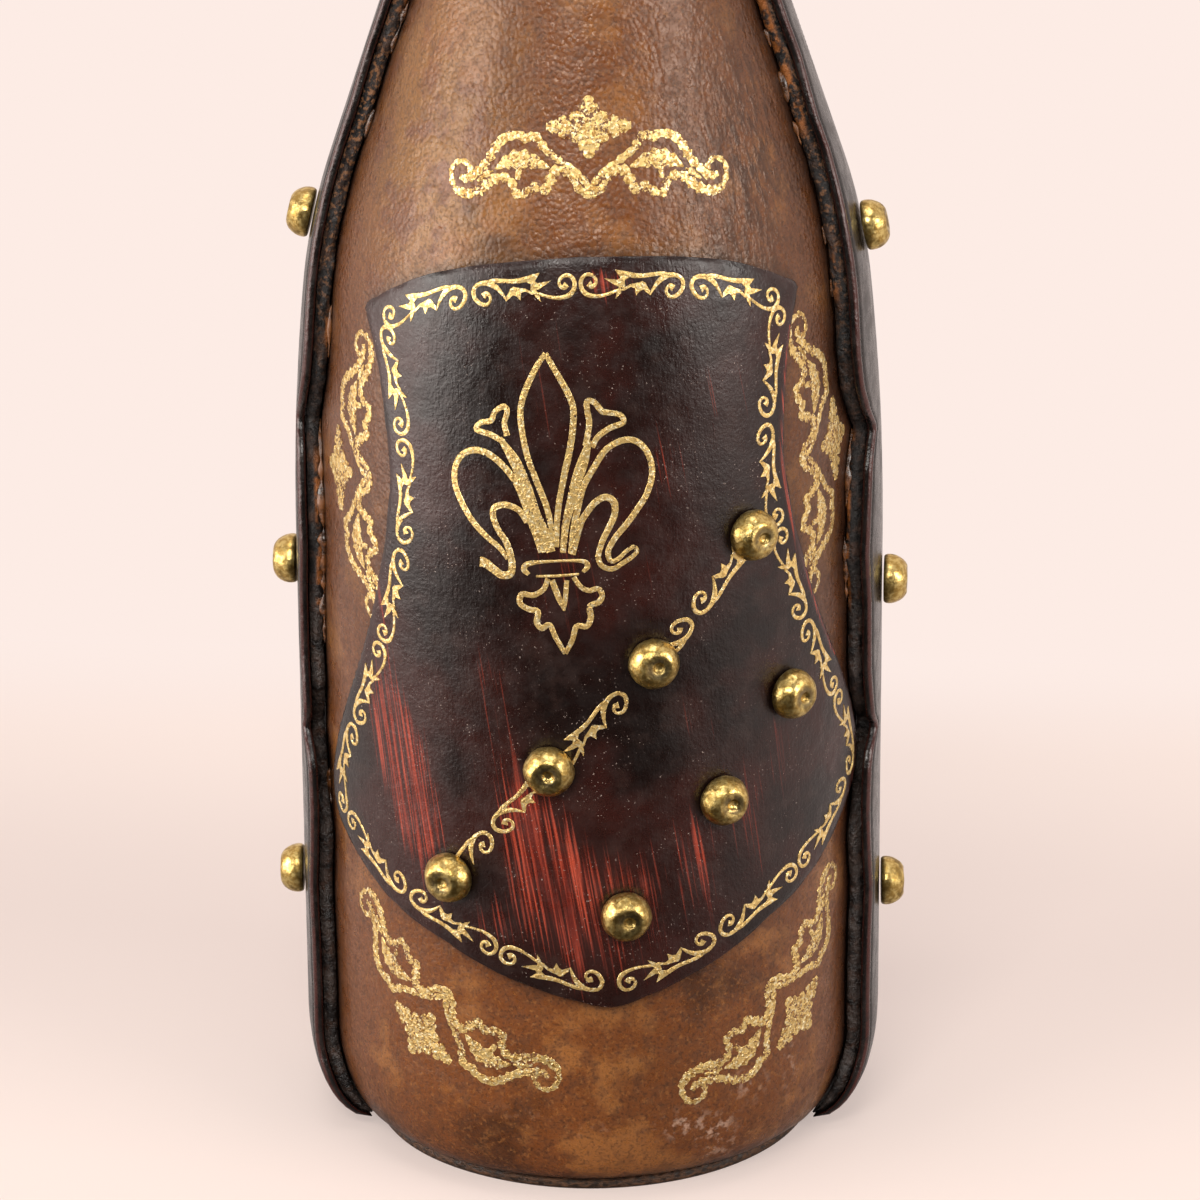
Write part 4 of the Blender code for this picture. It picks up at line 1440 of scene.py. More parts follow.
@dataclass
class ShieldPlate:
    """The lacquered shield, wrapped on the front of the casing."""

    columns: int = 96
    rows: int = 92
    edge_w: float = 1.3
    edge_share: float = 0.5
    stud_r: float = 4.1
    darkest: float = 0.92

    def shares(self, cells: int, width: float) -> Grid:
        """Shares from 0 to 1 that crowd near both ends, where the edge is rounded."""
        rim = np.array([0, 0.12, 0.3, 0.55, 0.85, self.edge_w]) / width
        inner = np.linspace(rim[-1], 1 - rim[-1], cells)
        return np.concatenate([rim[:-1], inner, 1 - rim[:-1][::-1]])

    def grid(self) -> Grid:
        """Flat points of the shield by row and column, blended between its four edges."""
        across = self.shares(self.columns, 2 * SHIELD.half_w)
        upward = self.shares(self.rows, SHIELD.top_h + SHIELD.bottom_h)
        left, right = (by_length(SHIELD.edge(SHIELD.side, way), 1 - upward)[:, None] for way in (-1, 1))
        bottom, top = (
            np.where((across < 0.5)[:, None], *(by_length(SHIELD.edge(run, way), 1 - np.abs(1 - 2 * across))
                                                for way in (-1, 1)))
            for run in (SHIELD.bottom, SHIELD.top)
        )
        u, v = across[None, :, None], upward[:, None, None]
        sides = left * (1 - u) + right * u
        return sides + bottom * (1 - v) + top * v - sides[:1] * (1 - v) - sides[-1:] * v

    def marks(self, flat: Grid, depth: Grid) -> Marks:
        """What the lacquer's material reads.

        Args:
            flat: Rows of across and up.
            depth: Distance of each from the outline.

        Returns:
            The marks flat, brushed and rim, and the mark of painted shadow round the studs.
        """
        a, u = flat.T
        brushed = sum(load * hump(a - (up - u) * 0.16, across, wide) * hump(u, up, high)
                      * np.clip((up + high - u) / high, 0, 1)
                      for across, up, wide, high, load in BRUSHED_PLACES)
        brushed += 1.5 * hump(depth, 0.75, 0.4) * ((a > 20) & (u > -10) & (u < 50))
        # Painted shadow darkens the lacquer round the foot of each stud
        off = np.min([np.hypot(*(flat - stud).T) for stud in SHIELD_STUDS], axis=0)
        return {
            "flat": np.column_stack([flat, 0 * a]), "brushed": np.clip(brushed, 0, self.darkest),
            "rim": depth, "grime": 0.9 * hump(np.maximum(off, self.stud_r), self.stud_r, 0.9),
        }

    def build(self) -> None:
        """Builds the plate with its rounded edge."""
        grid = self.grid()
        flat = grid.reshape(-1, 2)
        depth = SHIELD.depth(flat)
        round_off = np.sqrt(1 - (1 - np.clip(depth / self.edge_w, 0, 1)) ** 2)
        thick = LAYERS.shield_t * (self.edge_share + (1 - self.edge_share) * round_off)
        top = SHIELD.wrap(flat, LAYERS.foot + thick + warp(flat) * np.clip(depth / 4, 0, 1))
        under = SHIELD.wrap(flat, LAYERS.foot)
        marks = {label: np.concatenate([values, values]) for label, values in self.marks(flat, depth).items()}
        item = make_mesh("shield_plate", np.vstack([top, under]), sheet_faces(*grid.shape[:2]),
                         Finish.LACQUER.material, marks)
        dressed(item, Body.CARAFE, "shield_leather", "shield")


@dataclass
class Studs:
    """The domed brass studs, one shape set on the covering by Geometry Nodes."""

    radius: float = 4.3
    height: float = 3.95
    dimple: float = 0.35
    around: int = 36
    seed: int = 7
    top_spin: float = 0.4
    top_seat: float = 1.2
    profile: Points = (
        (0, 0.8), (0.14, 0.81), (0.22, 0.93), (0.32, 0.97), (0.5, 1), (0.6, 0.975), (0.78, 0.83),
        (0.95, 0.52), (1, 0.24), (0.97, 0.08), (0.9, 0),
    )

    def head(self, name: str) -> Object:
        """One stud's head, with a flattened face and a dimple a little off its middle.

        Args:
            name: The piece's name.

        Returns:
            The stud, with its own Z axis outwards and its foot at the origin.
        """
        limits = [self.radius, self.height]
        line = np.clip(smooth_path(np.array(self.profile), 2) * limits, 0, limits)
        t, r = np.meshgrid(full_turn(self.around), line[1:, 0])
        z = np.repeat(line[1:, 1], self.around).reshape(r.shape)
        near = hump(r / self.radius, 0, 0.42)
        dent = 1 + wavy(12, r * np.cos(t) / 1.6, r * np.sin(t) / 1.6, z / 1.6)
        r = r * (1 - 0.012 * dent * (r > 1))
        z = np.clip(z - 0.03 * dent, 0, None)
        ring = np.stack([r * np.cos(t) + self.dimple * near, r * np.sin(t), z], -1).reshape(-1, 3)
        points = np.vstack([[self.dimple, 0, line[0, 1] - 0.05], ring])
        foot = tuple(range(len(points) - self.around, len(points)))
        faces = [*disc_faces(len(line) - 1, self.around), foot]
        dull = np.append(0, hump(r / self.radius, 0.34, 0.13))
        return make_mesh(name, points, faces, Finish.BRASS.material, {"dull": dull})

    def seats(self) -> list[tuple[float, float, float]]:
        """Turn, height and lift of every stud on the covering."""
        on_shield = [(*SHIELD.place(flat), LAYERS.shield_top + LAYERS.gap) for flat in SHIELD_STUDS]
        on_straps = [(OUTLINE.turn(side, z), z, LAYERS.strap_top + LAYERS.gap)
                     for side, heights in STRAP_STUD_HEIGHTS.items() for z in heights]
        return on_shield + on_straps

    def build(self) -> None:
        """Sets a stud at every seat on the covering, and one on the stopper."""
        turn, z, lift = np.array(self.seats()).T
        facing = np.column_stack([QUARTER - LINE.at(z)[1], 0 * z, turn])
        spin = np.random.default_rng(self.seed).uniform(-0.5, 0.5, len(z))
        names = [f"shield_stud_{n}" for n in range(1, 8)]
        names += [f"{side.label}_strap_stud_{n}" for side in Side for n in range(1, 4)]
        item = self.set_out("carafe_studs", LINE.skin(turn, z, lift), facing, spin)
        dressed(item, Body.CARAFE, "brass", *names)
        seat = np.array([(0, 0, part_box("stopper_stud")[0].z / MM + self.top_seat)])
        item = self.set_out("stopper_top_stud", seat, 0 * seat, np.array([self.top_spin]))
        dressed(item, Body.STOPPER, "brass", "stopper_stud")

    def set_out(self, name: str, places: Grid, facing: Grid, spin: Grid) -> Object:
        """Sets studs on points by Geometry Nodes.

        Args:
            name: The piece's name.
            places: Rows of x, y and z in millimetres.
            facing: Rows of Euler angles.
            spin: Turns about each stud's own axis.

        Returns:
            The piece, as a plain mesh.
        """
        head = self.head(name + "_head")
        seats = bare_mesh(name + "_seats", places)
        keep_marks(seats, {"facing": facing, "spin": spin})
        group = Generator("studs_on_seats", seats, {"Stud": head, "Finish": Finish.BRASS.material})
        facing, spin = (
            group.add("GeometryNodeInputNamedAttribute", {"Name": label}, data_type=kind)["Attribute"]
            for label, kind in (("facing", "FLOAT_VECTOR"), ("spin", "FLOAT"))
        )
        both = group.add("FunctionNodeRotateRotation", {
            "Rotation": group.add("FunctionNodeEulerToRotation", {"Euler": facing})[0],
            "Rotate By": group.add("FunctionNodeAxisAngleToRotation", {"Angle": spin})[0],
        }, rotation_space="LOCAL")[0]
        placed = group.add("GeometryNodeInstanceOnPoints", {
            "Points": group.start["Start"], "Rotation": both,
            "Instance": group.add("GeometryNodeObjectInfo", {"Object": group.start["Stud"]})["Geometry"],
        })[0]
        item = group.piece(name, placed)
        bpy.data.objects.remove(head)
        return item


# Gilt tooling


@dataclass(frozen=True)
class Stroke:
    """One tooled line: its guide points and its widths, in millimetres."""

    points: Points
    widths: Sequence[float]
    ripple: float = 0.0


@dataclass(frozen=True)
class Leaf:
    """One filled tooled shape, given by its outline in millimetres."""

    points: Points


@dataclass
class Relief:
    """Low relief of gold foil, drawn flat in millimetres before it is laid on the leather."""

    height: float = 0.07
    sunk: float = 0.09
    bevel: float = 0.12
    thinnest: float = 0.1
    steps: int = 5
    points: list[Grid] = field(default_factory=list)
    faces: list[Sequence[int]] = field(default_factory=list)
    hearts: list[float] = field(default_factory=list)

    def add(self, points: Grid, faces: Faces, hearts: Sequence[float]) -> None:
        """Adds one closed body to the relief, with the mark heart of its points."""
        self.faces += [[i + len(self.points) for i in face] for face in faces]
        self.points += [*points]
        self.hearts += [*hearts]

    def stroke(self, line: Stroke) -> None:
        """Adds a ribbon with bevelled sides along a smooth curve."""
        at, known = (np.linspace(0, 1, len(row)) for row in (line.points, line.widths))
        widths = np.interp(at, known, line.widths)
        path = smooth_path(np.column_stack([np.array(line.points), widths]), self.steps)
        flat, wide = path[:, :2], np.maximum(path[:, 2], self.thinnest)
        along = run_along(flat)
        ragged = 1 + line.ripple * (np.sin(along * 3.6) + 0.6 * np.sin(along * 7.9 + 1))
        half = (wide * ragged)[:, None] / 2
        inset = np.minimum(self.bevel, half * 0.45)
        corners = ((-half, -self.sunk, 0), (inset - half, self.height, 0.25), (0, self.height, 1),
                   (half - inset, self.height, 0.25), (half, -self.sunk, 0))
        loops = [np.column_stack([flat + beside(flat) * out, np.full(len(flat), up)])
                 for out, up, _ in corners]
        self.add(np.stack(loops, axis=1).reshape(-1, 3), swept_faces(len(flat), len(corners)),
                 [heart for _, _, heart in corners] * len(flat))

    def leaf(self, shape: Leaf) -> None:
        """Adds a filled shape with upright sides."""
        flat = np.array(shape.points)
        many = len(flat)
        loops = [np.column_stack([flat, np.full(many, up)]) for up in (self.height, -self.sunk)]
        wall = [(i, i + many, (i + 1) % many + many, (i + 1) % many) for i in range(many)]
        self.add(np.vstack(loops), [range(many), range(2 * many - 1, many - 1, -1), *wall], [0.6] * 2 * many)

    def draw(self, shapes: Sequence[Stroke | Leaf]) -> "Relief":
        """Adds every stroke and leaf of a motif and gives the relief back."""
        for shape in shapes:
            if isinstance(shape, Stroke):
                self.stroke(shape)
            else:
                self.leaf(shape)
        return self

    def parts(self) -> tuple[Grid, Grid]:
        """Flat places of all its points, and their heights."""
        points = np.array(self.points)
        return points[:, :2], points[:, 2]

    def piece(self, name: str, points: Grid, finish: Finish, smooth: bool = False) -> Object:
        """The relief's mesh on its points' own places.

        Args:
            name: The piece's name.
            points: Rows of x, y and z in millimetres.
            finish: Its finish.
            smooth: Whether its faces shade smoothly.

        Returns:
            The new object.
        """
        return make_mesh(name, points, self.faces, finish.material, {"heart": np.array(self.hearts)}, smooth)


SCROLL = (
    Stroke(((2.15, -0.3), (2.75, 0.05), (3.35, -0.3), (3.4, -1.05), (2.7, -1.6), (1.6, -1.4), (0.7, -0.65),
        (0.33, 0.2), (0.6, 1.1), (1.5, 1.62), (2.6, 1.72), (3.6, 1.5), (4.6, 0.95), (5.4, 0.2), (6.1, -0.7),
        (6.45, -1.35)),
        (1.25, 0.95, 0.66, 0.66, 0.7, 0.77, 0.84, 0.89, 0.84, 0.82, 0.91, 1.05, 0.99, 0.76, 0.53, 0.18)),
    Stroke(((2.9, 1.78), (4.2, 1.92), (5.9, 1.78), (7.8, 1.58), (9.6, 1.68), (11.2, 2), (12.6, 2.55)),
        (0.58, 0.8, 0.77, 0.82, 0.94, 0.88, 0.18)),
    Leaf(((12.6, 2.5), (10.7, 2.05), (10.3, 1.3), (11, 0.95), (10.9, 0.1), (11.3, -0.3), (11.8, -1.1),
        (12.65, -1.8), (12.3, -0.5), (11.95, 0), (12.8, 0.3), (14.6, 1.3), (12.2, 1.05), (11.7, 1.35))),
    Leaf(((6.9, -0.1), (7.3, 0.5), (7.8, 0.78), (8.6, 0.55), (9.9, 0.38), (11.3, -0.25), (11.2, -0.65),
        (9.9, -0.08), (9.2, -0.25), (9, -1.4), (8.3, -0.7), (7.7, -0.5), (6.5, -1.3), (6.5, -0.6))),
    Stroke(((10.9, -0.42), (12.2, -0.55), (13.6, -0.98), (15.1, -1.32), (16.5, -1.34), (17.7, -1.05),
        (18.5, -0.3), (18.72, 0.6), (18.4, 1.5), (17.6, 1.93), (16.65, 1.78), (16.05, 1.15), (16.15, 0.45),
        (16.8, 0.15), (17.35, 0.6)),
        (0.47, 0.58, 0.61, 0.66, 0.77, 0.89, 0.89, 0.84, 0.77, 0.73, 0.7, 0.68, 0.7, 0.95, 1.25)),
)
SCROLL_LENGTH = 18.8
SCROLL_PITCH = 19.7

# Start of each scroll of the diagonal, in millimetres from its first stud, its way along the diagonal, the
# hand of its upper side, and how many of the scroll's shapes it has
DIAGONAL_SCROLLS = ((15.7, -1, -1, 5), (16.9, 1, 1, 2), (33.2, 1, -1, 5), (66.6, -1, 1, 5), (67.7, 1, -1, 2))

LILY = (
    Stroke(((0.16, 35.3), (-1.3, 33.5), (-2.85, 30.9), (-4.1, 28.2), (-4.65, 25.7), (-4.5, 22.6),
        (-3.8, 18.4), (-2.45, 14.1), (-1.35, 10.7), (-0.8, 7.8), (-0.6, 3.4)),
        (1, 1.15, 1.2, 1.15, 1.15, 1.15, 1.1, 1)),
    Stroke(((0.16, 35.3), (1.75, 32.4), (3.3, 29.4), (4.25, 26.7), (4.1, 23.6), (3.3, 19.6), (2.15, 15.6),
        (1.25, 12.2), (0.6, 9.2), (0.2, 6.4), (0, 3.4)), (1, 1.15, 1.2, 1.2, 1.2, 1.1, 1.1, 1)),
    Stroke(((-7.7, 20.9), (-10, 22.1), (-12.5, 22.8), (-11.6, 24), (-9.8, 24.4), (-9.1, 25.8), (-7.5, 26.8),
        (-6.9, 25.9), (-7.5, 24), (-7.1, 22)), (1.1, 1.1, 1, 1.1, 1, 1.1, 1, 1.2)),
    Stroke(((-8.4, 21.6), (-6.1, 17.9), (-4.6, 14.15), (-3.6, 10.7), (-2.6, 6.9), (-1.75, 2.6)),
        (0.9, 2, 2, 1.9, 1.7, 1.6)),
    Stroke(((7, 19.7), (8, 21.3), (10.1, 22.6), (12.4, 23.3), (12, 24.6), (10, 25.2), (9, 25.5), (7.9, 27),
        (6.7, 27.3), (6.6, 25.8), (6.8, 23.8), (6.4, 21.8), (5.9, 20)), (1, 1.1, 1, 1.1, 1.1, 1.1, 1.1)),
    Stroke(((6.6, 20.9), (5.3, 17.4), (3.9, 14), (2.85, 10.6), (1.75, 7.1), (0.95, 2.4)),
        (0.9, 1.9, 1.8, 1.6, 1.3, 1.1)),
    Stroke(((-2.2, 2.7), (-3, 5.5), (-3.9, 7.9), (-4.75, 10.7), (-5.95, 14.1), (-7.9, 16.8), (-10.3, 18.75),
        (-12.85, 19.4), (-15.2, 18.5), (-16.6, 16.5), (-16.95, 13.8), (-16.1, 11.1), (-14.25, 7.8),
        (-11.85, 5.2), (-9.5, 3.2), (-8.3, 1.4)),
        (1.9, 1.7, 1.5, 1.3, 1.3, 1.25, 1.25, 1.2, 1.2, 1.2, 1.2, 1.2, 1.15, 1.1, 1, 0.8)),
    Stroke(((-4.6, 7.6), (-5.2, 8.8), (-6.2, 9.9), (-8.25, 10.5), (-10, 9.9), (-10.3, 8.4), (-9.6, 6.35),
        (-8.35, 4.3), (-7.75, 2.2), (-7.6, 0.1), (-8.1, -1.2), (-9.5, -1.4), (-10.8, -0.5), (-12.2, 0.5),
        (-13.1, 0.7)), (1.1, 1.15, 1.15, 1.2, 1.2, 1.15, 1.2, 1.3, 1.3, 1.5, 1.5, 1.7, 1.9)),
    Stroke(((-1, 2.6), (-1.6, 5.2), (-2.5, 8.2), (-3.3, 11)), (1.6, 1.8, 1.2, 0.3)),
    Stroke(((2.4, 2.2), (2.9, 5.7), (3.75, 9.2), (5.05, 13.2), (6.95, 16.2), (9.2, 19.1), (12, 20.35),
        (14.4, 19.9), (16.1, 17.7), (16.55, 14.5), (15.45, 11.2), (13.55, 8.65), (11.65, 6.4), (9.8, 4.5),
        (8.45, 2.5), (8.3, 1.1), (8.9, 0.35), (10.1, 0.85), (11.2, 1.8), (12.5, 2.4), (13, 1.6), (12, 0.7),
        (10.5, -0.15), (8.7, -0.95), (7.1, -0.2), (6.55, 1.25)),
        (1.3, 1.2, 1.15, 1.15, 1.15, 1.15, 1.15, 1.15, 1.1, 1, 0.85, 0.8, 0.85, 0.9, 1, 1)),
    Stroke(((6.55, 1.25), (7.4, 3.7), (8.7, 6), (9.85, 8.35), (9.85, 10.3), (8.6, 11.25), (6.9, 10.6),
        (5.4, 9), (4.25, 7.3), (3.3, 4.6), (2.5, 2)), (1, 1.1, 1.2, 1.3, 1.2, 1.2, 1.2, 1.1)),
    Stroke(((-4.9, -1.2), (-5.65, -0.35), (-4.8, 0.65), (-1.6, 0.98), (2.4, 0.98), (4.4, 0.65), (4.8, -0.2),
        (4, -1.05)), (0.8, 1.1, 1, 0.6, 0.6, 0.9, 1, 0.7)),
    Stroke(((-3.7, -1.5), (-0.45, -1.52), (3.3, -1.38)), (0.5, 0.6, 0.5)),
    Stroke(((-1.2, -2.2), (-0.2, -5.5), (0.5, -7.5)), (1.1, 1.1, 0.5)),
    Stroke(((1.25, -2.3), (0.8, -5.5), (0.45, -7.5)), (0.9, 0.9, 0.5)),
    Stroke(((-1.8, -1.9), (-2.6, -3.7), (-4.4, -4.75), (-6.3, -4.6), (-6.75, -6.2), (-5.3, -7.2),
        (-3.85, -7.6), (-4.2, -9.4), (-3.4, -10.5), (-2.1, -9.9), (-1.2, -12.3), (0.1, -14.9)),
        (0.9, 1.1, 1.1, 1.1, 0.9)),
    Stroke(((0.1, -14.9), (1.4, -12.7), (2.3, -10.3), (3.9, -10.4), (4.7, -8.9), (4.7, -7), (6.2, -6.4),
        (6.8, -5.2), (6.2, -4.1), (4.7, -4.3), (3.4, -3.5), (2.4, -1.8)), (0.9, 1.1, 1.1, 1, 0.9)),
)
LILY_FOOT = (-5.23, 16.68)
LILY_TILT = 1.4

CARTOUCHE_HALF = (
    Stroke(((-20.6, -1.7), (-22.6, -1.2), (-23.9, 0.6), (-23.9, 2.6), (-22.3, 3.7), (-20.8, 3.2),
        (-20.3, 2), (-21.2, 1), (-22.3, 1.2)), (1.2, 1.2, 1.1, 1, 1.2, 1.3, 1.3), 0.22),
    Stroke(((-20.4, 0.8), (-18.8, 2.7), (-17.3, 4.4), (-16.2, 6.5), (-14.4, 8.4), (-11.9, 9), (-11, 8.2),
        (-9.8, 9.2), (-8.4, 8.4), (-7.4, 7), (-5.1, 5.4), (-2.5, 3.7), (-1, 2.2), (0, 0.9)),
        (1.2, 1.5, 1.6, 1.7, 1.7, 1.4, 1.3, 1.6, 1.5, 1.3, 1.2, 1.2, 1.4), 0.24),
    Stroke(((-22.3, -1.2), (-20, -1.2), (-18, -0.2), (-16.6, 1), (-15.4, 1.9), (-13.8, 2), (-12.8, 1.2),
        (-12.2, -0.2), (-10.9, -0.5), (-9.2, 0.8), (-7.4, 0.6), (-6.5, 2.1), (-5.9, 3.4), (-4.4, 3.8),
        (-2.9, 2.8), (-1.9, 0.9), (-0.6, 0.1), (0, 0)), (1.5, 1.8, 1.6, 1.4, 1.6, 1.8, 1.7, 1.3, 1.3), 0.26),
    Stroke(((-15.9, 3.2), (-13.9, 4.5), (-11.4, 5.2), (-8.8, 4.8), (-6.6, 4.1)), (0.4, 2.3, 3.1, 2.2, 0.4),
        0.15),
    Stroke(((-18.9, 0.9), (-17.3, 2.3), (-16.2, 2.9)), (0.5, 1.1, 0.5), 0.3),
    Stroke(((-11.3, 4.5), (-11.8, 3.2), (-11.9, 1.9)), (1.5, 1.2, 0.9), 0.1),
)
CARTOUCHE_CUP = (
    Stroke(((-1.5, 0.6), (0, 0.35), (1.5, 0.6)), (1.5, 1.9, 1.5)),
    Stroke(((-1.1, -0.3), (0, -0.5), (1.1, -0.3)), (0.6, 0.8, 0.6)),
)

# Turn in degrees and height of each cartouche's cup, and the turn of its own upright
CARTOUCHES = ((5.4, 176, 0), (-48.6, 124.8, 96), (56, 128, -89), (-28.2, 37.2, 148), (45.6, 36.4, 222))

# Middle of the small lozenge of leaves above a cartouche's cup, and its half-height and half-width
PALMETTE = (-0.1, 10.7)
PALMETTE_REACH = (7.2, 5.0)


def palmette() -> list[Stroke]:
    """The lozenge of leaves, built up from rows of short lobes."""
    lobes = []
    for quarter in range(4):
        reach = PALMETTE_REACH[quarter % 2]
        runs = [(((0, 0), (reach / 2, 0), (reach, 0)), (1.5, 1.9, 1.1))]
        for out, span in ((0.32, 2.4), (0.58, 1.7), (0.84, 0.9)):
            root, tip = reach * (out - 0.12), reach * (out + 0.06)
            for side in (-span, span):
                lobe = ((root, 0), ((root + tip) / 2 + 0.25, side / 2), (tip, side))
                runs.append((lobe, (1.3, 1.7, 1.1)))
        lobes += [Stroke(spun(np.array(points), QUARTER * quarter) + PALMETTE, widths, 0.25)
                  for points, widths in runs]
    return lobes


@dataclass
class Tooling:
    """The gilt tooling on the shield and on the casing."""

    inset: float = 4.5
    lift: float = 0.02
    tip_gap: float = 1.2
    scroll_gap: float = 0.9
    stamp_height: float = 0.05

    def scroll(self, name: str, flip: bool) -> Object:
        """One scroll of the border in the flat, or its mirror image, a metre for each millimetre."""
        relief = Relief().draw(SCROLL)
        points = np.array(relief.points)
        if flip:
            points = points * [-1, 1, 1] + [SCROLL_LENGTH, 0, 0]
        return relief.piece(name, points / MM, Finish.SHIELD_GILT, smooth=True)

    def run(self, name: str, path: Grid, start_flipped: bool) -> tuple[Grid, Faces, Grid]:
        """Bends a row of scrolls along a flat path by Geometry Nodes.

        Args:
            name: Name for the objects made on the way.
            path: Rows of across and up, in millimetres.
            start_flipped: Whether the first scroll is the mirror image.

        Returns:
            The row's points, faces and heart marks, flat.
        """
        even, odd = (self.scroll(f"{name}_{kind}", flip) for kind, flip in
                     (("even", start_flipped), ("odd", not start_flipped)))
        length = run_along(path)[-1]
        count = max(round(length / SCROLL_PITCH), 1)
        pitch = float(length / count)
        host = bare_mesh(name + "_path", np.column_stack([path, 0 * path[:, 0]]) / MM,
                         [(i - 1, i) for i in range(1, len(path))])
        group = Generator("scrolls_along_path", host, {
            "Even scroll": even, "Odd scroll": odd, "Count": count, "Pitch": (pitch, 0.0, 0.0),
            "First": (self.scroll_gap / 2, 0.0, 0.0), "Finish": Finish.SHIELD_GILT.material,
            "Stretch": ((pitch - self.scroll_gap) / SCROLL_LENGTH, 1.0, 1.0),
        })
        start = group.start
        spots = group.add("GeometryNodeMeshLine", {"Count": start["Count"], "Offset": start["Pitch"],
                                                   "Start Location": start["First"]})[0]
        index = group.add("GeometryNodeInputIndex")[0]
        is_odd = group.add("ShaderNodeMath", {0: index, 1: 2}, operation="MODULO")[0]
        is_even = group.add("ShaderNodeMath", {0: 1, 1: is_odd}, operation="SUBTRACT")[0]
        rows = [
            group.add("GeometryNodeInstanceOnPoints", {
                "Points": spots, "Selection": chosen, "Scale": start["Stretch"],
                "Instance": group.add("GeometryNodeObjectInfo", {"Object": start[label]})["Geometry"],
            })[0] for label, chosen in (("Even scroll", is_even), ("Odd scroll", is_odd))
        ]
        joined = group.tree.nodes.new("GeometryNodeJoinGeometry")
        for row in rows:
            group.plug(joined, {0: row})
        real = group.add("GeometryNodeRealizeInstances", {"Geometry": joined.outputs[0]})[0]
        # Every point slides along the path by its own x and stands off it by its own y
        here = group.add("ShaderNodeSeparateXYZ", {"Vector": group.add("GeometryNodeInputPosition")[0]})
        curve = group.add("GeometryNodeMeshToCurve", {"Mesh": start["Start"]})[0]
        sample = group.add("GeometryNodeSampleCurve", {"Curves": curve, "Length": here["X"]}, mode="LENGTH",
                           use_all_curves=True)
        way = group.add("ShaderNodeSeparateXYZ", {"Vector": sample["Tangent"]})
        back = group.add("ShaderNodeMath", {0: way["Y"], 1: -1}, operation="MULTIPLY")[0]
        side = group.add("ShaderNodeCombineXYZ", {"X": back, "Y": way["X"]})[0]
        off = group.add("ShaderNodeVectorMath", {0: side, "Scale": here["Y"]}, operation="SCALE")[0]
        moved = group.add("ShaderNodeVectorMath", {0: sample["Position"], 1: off}, operation="ADD")[0]
        up = group.add("ShaderNodeCombineXYZ", {"Z": here["Z"]})[0]
        target = group.add("ShaderNodeVectorMath", {0: moved, 1: up}, operation="ADD")[0]
        laid = group.add("GeometryNodeSetPosition", {"Geometry": real, "Position": target})[0]
        item = group.piece(name, laid)
        points = np.array([spot.co for spot in item.data.vertices])
        hearts = np.array([mark.value for mark in item.data.attributes["heart"].data])
        faces = [tuple(face.vertices) for face in item.data.polygons]
        for part in (item, even, odd):
            bpy.data.objects.remove(part)
        return points, faces, hearts

    def inset_path(self, run: Points, way: int) -> Grid:
        """An edge of the shield moved inwards to the middle of its border."""
        path = SHIELD.edge(run, way)
        moved = path + beside(path) * self.inset * (way if run is SHIELD.top else -way)
        return moved[SHIELD.depth(moved) > self.inset - 0.25]

    def border_paths(self) -> list[tuple[Grid, bool]]:
        """Flat paths of the border's rows of scrolls, each drawn with its outer side on its left."""
        top = np.vstack([self.inset_path(SHIELD.top, -1), self.inset_path(SHIELD.top, 1)[::-1][1:]])
        paths = [(top, True)]
        for way in (-1, 1):
            whole = np.vstack([self.inset_path(SHIELD.side, way), self.inset_path(SHIELD.bottom, way)])
            whole = whole[np.diff(run_along(whole), prepend=-1) > 0.05]
            whole = smooth_path(by_length(whole, np.linspace(0, 1, 40)), 3)
            whole = by_length(whole, np.linspace(0, 1 - self.tip_gap / run_along(whole)[-1], 160))
            paths.append((whole[::-1] if way < 0 else whole, way > 0))
        return paths

    def diagonal(self) -> Relief:
        """The short scrolls between the studs of the diagonal, which run on under the stud heads."""
        first, last = SHIELD_STUDS[0], SHIELD_STUDS[3]
        down = (last - first) / np.linalg.norm(last - first)
        relief = Relief()
        for start, way, hand, strokes in DIAGONAL_SCROLLS:
            part = Relief().draw(SCROLL[:strokes])
            flat, height = part.parts()
            placed = spun(flat * [1, hand], math.atan2(*(way * down)[::-1])) + first + down * start
            relief.add(np.column_stack([placed, height]), part.faces, part.hearts)
        return relief

    def on_shield(self) -> None:
        """Builds the border, the diagonal and the fleur-de-lis on the shield."""
        border = Relief()
        for number, (path, flipped) in enumerate(self.border_paths()):
            border.add(*self.run(f"gilt_border_{number}", path, flipped))
        self.lay("gilt_border", border)
        self.lay("gilt_diagonal", self.diagonal())
        self.lay("gilt_lily", Relief().draw(LILY), math.radians(LILY_TILT), LILY_FOOT)

    def lay(self, name: str, relief: Relief, tilt: float = 0.0,
            foot: tuple[float, float] = (0.0, 0.0)) -> None:
        """Lays a relief on the shield.

        Args:
            name: The piece's name.
            relief: The relief, flat.
            tilt: Its turn about its own origin.
            foot: Where its origin is on the shield.
        """
        flat, height = relief.parts()
        flat = spun(flat, tilt) + foot
        points = SHIELD.wrap(flat, LAYERS.shield_top + warp(flat) + self.lift + height)
        dressed(relief.piece(name, points, Finish.SHIELD_GILT), Body.CARAFE, "shield_leather")

    def on_casing(self, casing: Casing) -> None:
        """Builds the cartouches on the casing.

        Args:
            casing: The casing, whose face they follow.
        """
        mirrored = [Stroke([(-across, up) for across, up in line.points], line.widths, line.ripple)
                    for line in CARTOUCHE_HALF]
        shapes = [*CARTOUCHE_HALF, *mirrored, *CARTOUCHE_CUP, *palmette()]
        motif = Relief(height=self.stamp_height).draw(shapes)
        flat, height = motif.parts()
        relief = Relief()
        for turn, z, spin in CARTOUCHES:
            across, up = spun(flat, math.radians(spin)).T
            radius, lean = LINE.at(z)
            z = z + up * math.cos(lean)
